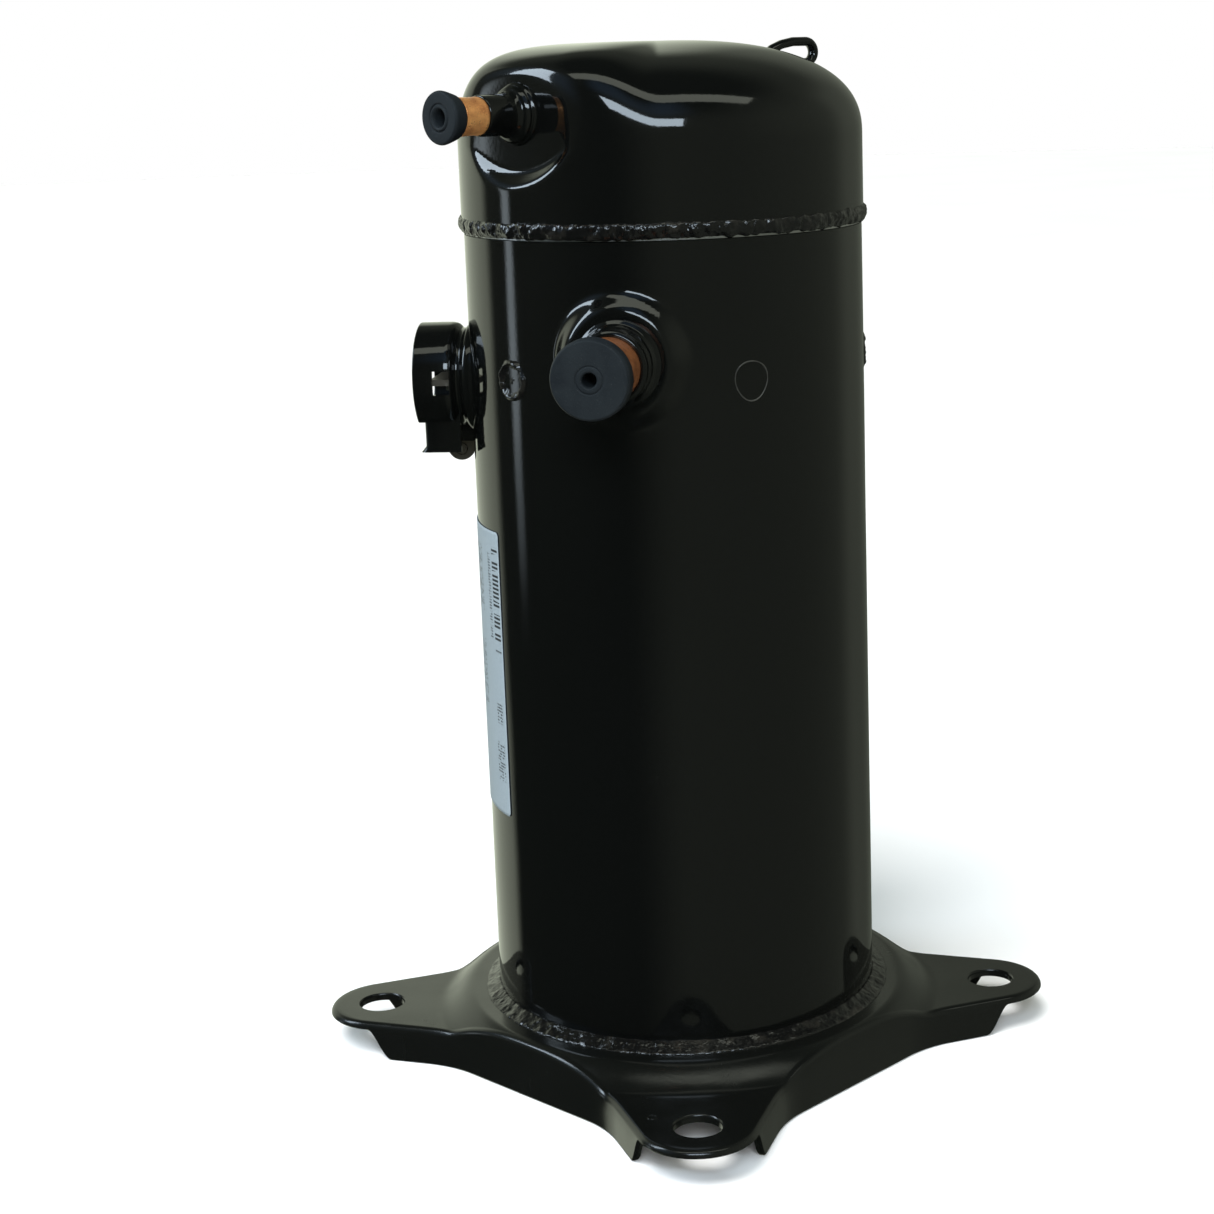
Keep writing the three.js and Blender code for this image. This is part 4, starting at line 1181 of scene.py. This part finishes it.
# %% Suction line
collar = lathe("suction_collar_skin", [
    (12.05, 85), (17.6, 85), (17.2, 87.6), (15.6, 88.6), (14.6, 90.2), (14.2, 92.0), (14.6, 92.6),
    (14.0, 93.4), (14.6, 94.6), (13.9, 95.6), (14.4, 96.4), (14.4, 99.6), (13.2, 100.4), (12.05, 100.4),
], ENAMEL, SUCTION, 0.35)
settle(collar, "housing", "enamel", "suction_collar")
stub = lathe("suction_stub_skin", [
    (10.8, 74), (12, 74), (12, 101.5), (12.35, 103), (12.35, 124), (10.8, 124),
], BROWNED_COPPER, SUCTION, 0.5)
settle(stub, "housing", "copper", "suction_stub")
plug = lathe("suction_plug_skin", [
    (0.001, 109), (9.6, 109), (10.5, 111), (10.5, 124.3), (14.9, 124.3), (15.3, 125.4), (15.3, 130.4),
    (14.5, 132), (5.6, 132), (5.2, 131.6), (4.7, 132), (3.2, 132), (2.7, 131.2), (2.6, 119),
    (0.001, 119),
], RUBBER, SUCTION, 0.5)
settle(plug, "suction_plug", "rubber", "suction_plug")

# %% [markdown]
# The discharge line is the thinner of the two, and bright where its tube was cleaned for
# brazing. Its plug is a tapered bung with a raised ring in its face, and the collar steps in
# towards the tube.

# %% Discharge line
fitting = lathe("discharge_fitting_skin", [
    (7.0, 77), (12.4, 77), (11.9, 78.9), (10.9, 79.7), (11.2, 80.6), (10.2, 81.8), (9.0, 82.6),
    (8.2, 84.2), (7.9, 86.5), (7.9, 97.2), (7.6, 97.6), (7.0, 97.6),
], ENAMEL, DISCHARGE, 0.4)
settle(fitting, "housing", "enamel", "discharge_fitting")
stub = lathe("discharge_stub_skin", [
    (6.2, 72), (6.9, 72), (6.9, 97.9), (7.35, 98.2), (7.2, 102.5), (7.35, 105.5), (7.5, 109), (6.2, 109),
], COPPER, DISCHARGE, 0.5)
settle(stub, "housing", "copper", "discharge_stub")
plug = lathe("discharge_plug_skin", [
    (0.001, 97), (5.2, 97), (5.9, 98.5), (5.9, 109.3), (7.9, 109.3), (8.7, 110.6), (9.9, 114.4),
    (10.25, 116.0), (9.7, 117), (5.6, 117), (5.2, 116.4), (4.6, 117.3), (3.6, 117), (3.2, 115.8),
    (3.2, 107), (0.001, 107),
], RUBBER, DISCHARGE, 0.5)
settle(plug, "discharge_plug", "rubber", "discharge_plug")

# %% [markdown]
# ## Terminal drum
# The electrical terminals stand in an open drum with a window in each side for the cover's
# tabs, and a chute under it for the supply cable. The drum is turned, the windows are cut, and
# the chute is a folded sheet whose outer wall ends in a small lip.

# %% Drum
FENCE_LOW, FENCE_HIGH = box_mm("terminal_fence")
FENCE_RADIUS = FENCE_HIGH.z - TERMINAL_HEIGHT
FENCE_INNER, FENCE_RIM = FENCE_RADIUS - 2.0, 104.0
CHUTE_SIDE, CHUTE_TOP, CHUTE_FOOT = 15.5, -12.0, FENCE_LOW.z - TERMINAL_HEIGHT
WINDOW_NEAR, WINDOW_FAR, WINDOW_HALF = 88.6, 95.8, 5.0
CHUTE_MOUTH = CHUTE_SIDE - 0.4
drum = lathe("terminal_drum", [
    (FENCE_INNER, FENCE_RIM), (FENCE_RADIUS, FENCE_RIM), (FENCE_RADIUS, 90), (FENCE_RADIUS - 0.6, 88),
    (FENCE_RADIUS - 2.6, 86.2), (FENCE_RADIUS - 2.4, 84.6), (FENCE_RADIUS - 0.3, 82.6),
    (FENCE_RADIUS, 80.5), (FENCE_RADIUS, 73), (FENCE_INNER - 2, 73), (FENCE_INNER - 2, 85),
    (FENCE_INNER, 87.5),
], ENAMEL, TERMINAL, 0.8, 128, 5)


def brick(low, high, place):
    """A plain block between two corners, used only to cut with."""
    corners = [
        (x, y, z) for z in (low[2], high[2]) for y in (low[1], high[1]) for x in (low[0], high[0])
    ]
    faces = [(0, 1, 3, 2), (4, 6, 7, 5), (0, 4, 5, 1), (2, 3, 7, 6), (0, 2, 6, 4), (1, 5, 7, 3)]
    return finish_mesh("brick", [place @ Vector(c) for c in corners], faces, ENAMEL, False)


combine(
    drum, "DIFFERENCE",
    brick((WINDOW_NEAR, 16, -WINDOW_HALF), (WINDOW_FAR, 28, WINDOW_HALF), TERMINAL),
    brick((WINDOW_NEAR, -28, -WINDOW_HALF), (WINDOW_FAR, -16, WINDOW_HALF), TERMINAL),
    brick((86.4, -CHUTE_MOUTH, -60), (120, CHUTE_MOUTH, -16), TERMINAL),
    brick((40, -40, -40), (74, 40, 40), TERMINAL),
)
sharpen(drum, 35)
settle(drum, "housing", "enamel", "terminal_fence")


# %% [markdown]
# The chute is thin sheet folded to three sides of a box, open towards the shell. A Solidify
# modifier would thicken a bare strip in the same way, but the lower edge of the outer wall
# kicks out, so the inner and outer faces are laid out together and joined round their rims.

# %% Chute
CHUTE_REACH, CHUTE_CORNER, CHUTE_WALL = 101.4, 2.5, 1.6
CHUTE_KICK, CHUTE_SPLAY = 2.0, 0.2


def folded_sheet(name, path, bottom_path, top, bottom, material, place, wall):
    """A sheet that follows a path of (x, y) points, and another path at its lower edge."""
    def offset(points):
        pts = [Vector(p) for p in points]
        result = []
        for k, p in enumerate(pts):
            along = (pts[min(k + 1, len(pts) - 1)] - pts[max(k - 1, 0)]).normalized()
            result.append(p + Vector((along.y, -along.x)) * wall)
        return result

    levels = [(path, top), (path, bottom + 5), (path, bottom + 2.4), (bottom_path, bottom)]
    outer = [[Vector((*p, z)) for p in points] for points, z in levels]
    inner = [[Vector((*p, z)) for p in offset(points)] for points, z in levels]
    loops = [a + b[::-1] for a, b in zip(outer, inner)]
    count = len(loops[0])
    vertices = [place @ point for loop in loops for point in loop]
    faces = loft_faces(len(loops), count)
    half = count // 2
    for row in (0, len(loops) - 1):
        start, end = row * count, (row + 1) * count - 1
        faces += [(start + k, start + k + 1, end - 1 - k, end - k) for k in range(half - 1)]
    return finish_mesh(name, vertices, faces, material)


def chute_path(x, y, corner):
    arc = [
        (x - corner + corner * math.sin(a), y - corner + corner * math.cos(a))
        for a in np.linspace(0, math.pi / 2, 6)
    ]
    upper = [(86.0, y), (89.0, y), (93.0, y)] + arc
    return upper + [(a, -b) for a, b in reversed(upper)]


chute = folded_sheet(
    "terminal_chute", chute_path(CHUTE_REACH, CHUTE_SIDE, CHUTE_CORNER),
    chute_path(CHUTE_REACH + CHUTE_KICK, CHUTE_SIDE + CHUTE_SPLAY, CHUTE_CORNER),
    CHUTE_TOP, CHUTE_FOOT, ENAMEL, TERMINAL, CHUTE_WALL,
)
sharpen(chute, 40)
settle(chute, "housing", "enamel")

# %% [markdown]
# ## Lifting eye
# The eye is a bar bent to a long loop that lies along a radius of the cap, over its shoulder,
# with both ends welded down to the dome. It is an oval section swept along that path. A curve
# with a bevel would be round; this section is wider across the loop than it is thick.

# %% Sweep an oval bar along a path
def sweep(name, path, wide, thick, material, place, sides=24):
    points = [Vector(p) for p in path]
    count = len(points)
    side = Vector((0, 1, 0))
    vertices = []
    for k, point in enumerate(points):
        along = (points[min(k + 1, count - 1)] - points[max(k - 1, 0)]).normalized()
        across = along.cross(side).normalized()
        for j in range(sides):
            angle = 2 * math.pi * j / sides
            offset = across * wide * math.cos(angle) + side * thick * math.sin(angle)
            vertices.append(place @ (point + offset))
    faces = loft_faces(count, sides)
    faces += [tuple(range(sides)), tuple(range((count - 1) * sides, count * sides))]
    return finish_mesh(name, vertices, faces, material)


eye_low, eye_high = box_mm("lifting_eye")
EYE = outward(azimuth_of((eye_low + eye_high) / 2))
EYE_END = Vector((78.0, 0.0, 420.8))
EYE_LOOP, EYE_BAR, EYE_WIDTH = 4.4, 1.9, 2.6


def eye_path(steps=28):
    """From the dome along the top bar, round the outer end, and back to the dome."""
    bend = [
        EYE_END + Vector((EYE_LOOP * math.sin(a), 0, EYE_LOOP * math.cos(a)))
        for a in np.linspace(0, math.pi, steps)
    ]
    bar = ((52, 416), (55.5, 419.4), (60, 422.4), (65, 424.2), (71, 425.2), (75, 425.2))
    top = [Vector((x, 0, z)) for x, z in bar]
    foot = [Vector((x, 0, z)) for x, z in ((75, 416.3), (71.5, 415.6), (67, 413.6), (62, 410.5))]
    return top + bend + foot


eye = sweep("lifting_eye_loop", eye_path(), EYE_BAR, EYE_WIDTH, ENAMEL, EYE)
settle(eye, "housing", "enamel", "lifting_eye")

# %% [markdown]
# ## Rating label
# The label is a thin sheet that follows the tube, a little proud of the paint, with rounded
# corners. It is a grid bent round the shell, so it could also be a plane with a Shrinkwrap. A
# grid of its own gives it an exact UV map, across and up, which keeps the print in place.

# %% Points of the label
LABEL_AZIMUTHS = (-110.0, -61.0)
LABEL_LOW, LABEL_HIGH = (corner.z for corner in box_mm("nameplate"))
LABEL_COLUMNS, LABEL_ROWS = 60, 90
LABEL_CORNER = 1.2
LABEL_FACE, LABEL_BACK = 0.42, 0.2  # heights over the shell


def label_points():
    """The face's points and then the back's, each with its place across and up."""
    width = math.radians(LABEL_AZIMUTHS[1] - LABEL_AZIMUTHS[0]) * SHELL_RADIUS
    height = LABEL_HIGH - LABEL_LOW
    vertices, coordinates = [], []
    for lift in (LABEL_FACE, LABEL_BACK):
        for row in range(LABEL_ROWS + 1):
            up = height * row / LABEL_ROWS
            edge = max(0.0, LABEL_CORNER - min(up, height - up))
            cut = LABEL_CORNER - math.sqrt(max(LABEL_CORNER ** 2 - edge ** 2, 0.0))
            for column in range(LABEL_COLUMNS + 1):
                across = cut + (width - 2 * cut) * column / LABEL_COLUMNS
                azimuth = LABEL_AZIMUTHS[0] + math.degrees(across / SHELL_RADIUS)
                vertices.append(outward(azimuth) @ Vector((SHELL_RADIUS + lift, 0, LABEL_LOW + up)))
                coordinates.append((across / width, up / height))
    return vertices, coordinates


print("label from", round(LABEL_LOW, 1), "to", round(LABEL_HIGH, 1), "mm up the shell")


# %% Faces and UV of the label
def label():
    vertices, coordinates = label_points()
    columns, rows = LABEL_COLUMNS, LABEL_ROWS
    wide = columns + 1
    sheet = wide * (rows + 1)
    faces = []
    for row in range(rows):
        for column in range(columns):
            a = row * wide + column
            faces.append((a, a + 1, a + wide + 1, a + wide))
            faces.append((sheet + a, sheet + a + wide, sheet + a + wide + 1, sheet + a + 1))
    rim = list(range(wide)) + [r * wide + columns for r in range(1, rows + 1)]
    rim += [rows * wide + columns - k for k in range(1, wide)]
    rim += [r * wide for r in range(rows - 1, 0, -1)]
    for k, a in enumerate(rim):
        b = rim[(k + 1) % len(rim)]
        faces.append((a, sheet + a, sheet + b, b))
    mesh = bpy.data.meshes.new("rating_label")
    mesh.from_pydata([v * MM for v in vertices], [], faces)
    uv = mesh.uv_layers.new(name="UVMap")
    for loop in mesh.loops:
        uv.data[loop.index].uv = coordinates[loop.vertex_index]
    mesh.shade_smooth()
    mesh.materials.append(LABEL_PAPER)
    piece = bpy.data.objects.new("rating_label", mesh)
    bpy.context.scene.collection.objects.link(piece)
    return piece


settle(label(), "housing", "paper", "nameplate")

# %% [markdown]
# ## Finishes for the carried-over pieces
# Everything inside the shell, and the small plates and pins in the drum, keep the frame's own
# shape. Each gets the metal or plastic that it is made of: iron for the frame and the fixed
# scroll, aluminium for the orbiting one, sintered bronze for bushes and counterweights.

# %% Give each carried-over node its material
NODE_MATERIALS = {
    "bottom_cap": ENAMEL,
    "fence_strap": PLATED, "ground_tab": PLATED, "ground_screw": PLATED,
    "terminal_base": SEAL, "terminal_cluster": PLASTIC, "motor_protector": PLASTIC, "motor_leads": PLASTIC,
    "main_frame": CAST_IRON, "fixed_scroll": CAST_IRON, "crankshaft": CAST_IRON,
    "main_bearing": BRONZE, "orbit_bearing": BRONZE, "lower_bearing": BRONZE, "thrust_ring": BRONZE,
    "upper_counterweight": BRONZE, "lower_counterweight": BRONZE,
    "orbiting_scroll": ALUMINIUM, "oldham_ring": ALUMINIUM,
    "rotor_end_ring_upper": ALUMINIUM, "rotor_end_ring_lower": ALUMINIUM,
    "stator_core": LAMINATED, "rotor_core": LAMINATED,
    "upper_winding": WINDING, "lower_winding": WINDING,
}
for name, node in frame["nodes"].items():
    if name.startswith("terminal_pin"):
        chosen = TIN
    elif name.startswith("scroll_bolt"):
        chosen = PLATED
    else:
        chosen = NODE_MATERIALS.get(name, STEEL)
    node.data.materials.clear()
    node.data.materials.append(chosen)
print("finished nodes", len(frame["nodes"]))

# %% [markdown]
# ## Floor and light
# The object stands on a plain pale floor in a white room. Gloss black shows its surroundings
# and nothing else, so what it mirrors is set apart from what lights it. The floor is hidden
# from gloss, because its far edge would draw a grey line across the shell.

# %% Floor
FLOOR_RADIUS = 9.0  # in metres, far past the picture's edges


def floor(sides=96):
    mesh = bpy.data.meshes.new("floor")
    turns = [2 * math.pi * k / sides for k in range(sides)]
    ring = [(FLOOR_RADIUS * math.cos(a), FLOOR_RADIUS * math.sin(a), -0.0002) for a in turns]
    mesh.from_pydata(ring, [], [tuple(range(sides))])
    pale = Finish("pale_floor", (0.84, 0.84, 0.84), 0.7)
    pale.color(pale.mix(pale.remap(pale.noise(3), 0.3, 0.7), (0.83, 0.83, 0.83), (0.86, 0.86, 0.86)))
    mesh.materials.append(pale.material)
    piece = bpy.data.objects.new("floor", mesh)
    piece.visible_glossy = False
    bpy.context.scene.collection.objects.link(piece)


floor()

# %% [markdown]
# Three soft panels, one in front, one at the left and one overhead, make the crisp highlights
# on the cap, the boss and the shell's left edge. Two wide suns light the matt surfaces and the
# floor evenly. The gloss doesn't show the suns, or the black would turn grey.

# %% Lights
LAMP_TARGET = Vector((0, 0, 0.22))
SUN_SPREAD = math.radians(28)
WINDOW_LIGHT, CEILING_LIGHT = (0.74, 0.88, 1.0), (0.95, 1.0, 0.86)


def hang(data, power, azimuth, elevation, distance=0.0):
    """Places a lamp at an azimuth and elevation about the object and turns it to face it."""
    data.energy = power
    lamp = bpy.data.objects.new(data.name, data)
    turn, lift = math.radians(azimuth), math.radians(elevation)
    direction = Vector((
        math.sin(turn) * math.cos(lift), -math.cos(turn) * math.cos(lift), math.sin(lift),
    ))
    lamp.location = LAMP_TARGET + direction * distance
    lamp.rotation_euler = (-direction).to_track_quat("-Z", "Y").to_euler()
    bpy.context.scene.collection.objects.link(lamp)
    return lamp


def panel(name, azimuth, elevation, distance, size, power, color):
    data = bpy.data.lights.new(name, "AREA")
    data.shape = "RECTANGLE"
    data.size, data.size_y = size
    data.color = color
    hang(data, power, azimuth, elevation, distance).visible_camera = False


def sun(name, azimuth, elevation, power):
    data = bpy.data.lights.new(name, "SUN")
    data.angle = SUN_SPREAD
    hang(data, power, azimuth, elevation).visible_glossy = False


panel("window", -4, 31, 1.5, (0.75, 0.3), 9, WINDOW_LIGHT)
panel("side_window", -88, 32, 1.5, (0.34, 0.8), 10, WINDOW_LIGHT)
panel("ceiling_strip", 8, 70, 2.4, (3.2, 0.55), 11, CEILING_LIGHT)
sun("key", -30, 62, 3.1)
sun("fill", 2, 27, 1.9)

# %% [markdown]
# The room is painted into the world as soft patches, each with a place, a size and a strength.
# A low bright one at the left draws the shell's edge, olive ones behind it and at the right
# tint the dark sides, and the dim blue ones blur the panels' edges. Rays that come straight
# from the camera see plain white behind the object.

# %% The room
OLIVE, BLUE, CLEAR = (0.93, 1.0, 0.8), (0.35, 0.6, 1.0), (0.8, 0.92, 1.0)
PATCHES = [
    # azimuth, inner and outer half-width; elevation, inner and outer half-height; strength
    ((-100, 1, 5), (-3, 3, 11), 2.4, CLEAR),
    ((-152, 26, 36), (-5, 30, 45), 0.8, OLIVE),
    ((180, 100, 150), (26, 18, 42), 0.1, OLIVE),
    ((60, 55, 90), (-10, 30, 70), 0.16, OLIVE),
    ((150, 20, 40), (-5, 30, 45), 0.1, OLIVE),
    ((-6, 8, 34), (50, 4, 20), 0.4, BLUE),
    ((-80, 12, 40), (28, 6, 26), 0.3, BLUE),
]


def room():
    world = bpy.data.worlds.new("room")
    world.use_nodes = True
    nodes, links = world.node_tree.nodes, world.node_tree.links

    def calculate(operation, *values):
        node = nodes.new("ShaderNodeMath")
        node.operation = operation
        for target, value in zip(node.inputs, values):
            if isinstance(value, (int, float)):
                target.default_value = value
            else:
                links.new(value, target)
        return node.outputs[0]

    def falloff(value, centre, inner, outer):
        node = nodes.new("ShaderNodeMapRange")
        node.interpolation_type = "SMOOTHSTEP"
        apart = calculate("WRAP", calculate("SUBTRACT", value, centre), -180.0, 180.0)
        links.new(calculate("ABSOLUTE", apart), node.inputs["Value"])
        for name, number in (("From Min", inner), ("From Max", outer), ("To Min", 1.0), ("To Max", 0.0)):
            node.inputs[name].default_value = number
        return node.outputs["Result"]

    split = nodes.new("ShaderNodeSeparateXYZ")
    links.new(nodes.new("ShaderNodeTexCoord").outputs["Generated"], split.inputs[0])
    turn = calculate("ARCTAN2", split.outputs["X"], calculate("MULTIPLY", split.outputs["Y"], -1.0))
    azimuth = calculate("DEGREES", turn)
    elevation = calculate("DEGREES", calculate("ARCSINE", split.outputs["Z"]))
    light = nodes.new("ShaderNodeRGB").outputs[0]
    light.default_value = (0.026, 0.031, 0.024, 1)
    for across, up, strength, tint in PATCHES:
        amount = calculate("MULTIPLY", falloff(azimuth, *across), falloff(elevation, *up))
        add = nodes.new("ShaderNodeMix")
        add.data_type, add.blend_type = "RGBA", "ADD"
        links.new(amount, add.inputs[0])
        links.new(light, add.inputs[6])
        add.inputs[7].default_value = (*(strength * c for c in tint), 1)
        light = add.outputs[2]
    seen = nodes.new("ShaderNodeMix")
    seen.data_type = "RGBA"
    links.new(nodes.new("ShaderNodeLightPath").outputs["Is Camera Ray"], seen.inputs[0])
    links.new(light, seen.inputs[6])
    seen.inputs[7].default_value = (1, 1, 1, 1)
    links.new(seen.outputs[2], nodes["Background"].inputs["Color"])
    bpy.context.scene.world = world


room()
bpy.context.scene.view_settings.view_transform = "Standard"
print("patches in the room", len(PATCHES))

# %% [markdown]
# ## Sizes and the end
# The visual model has to stay the size of the working model.
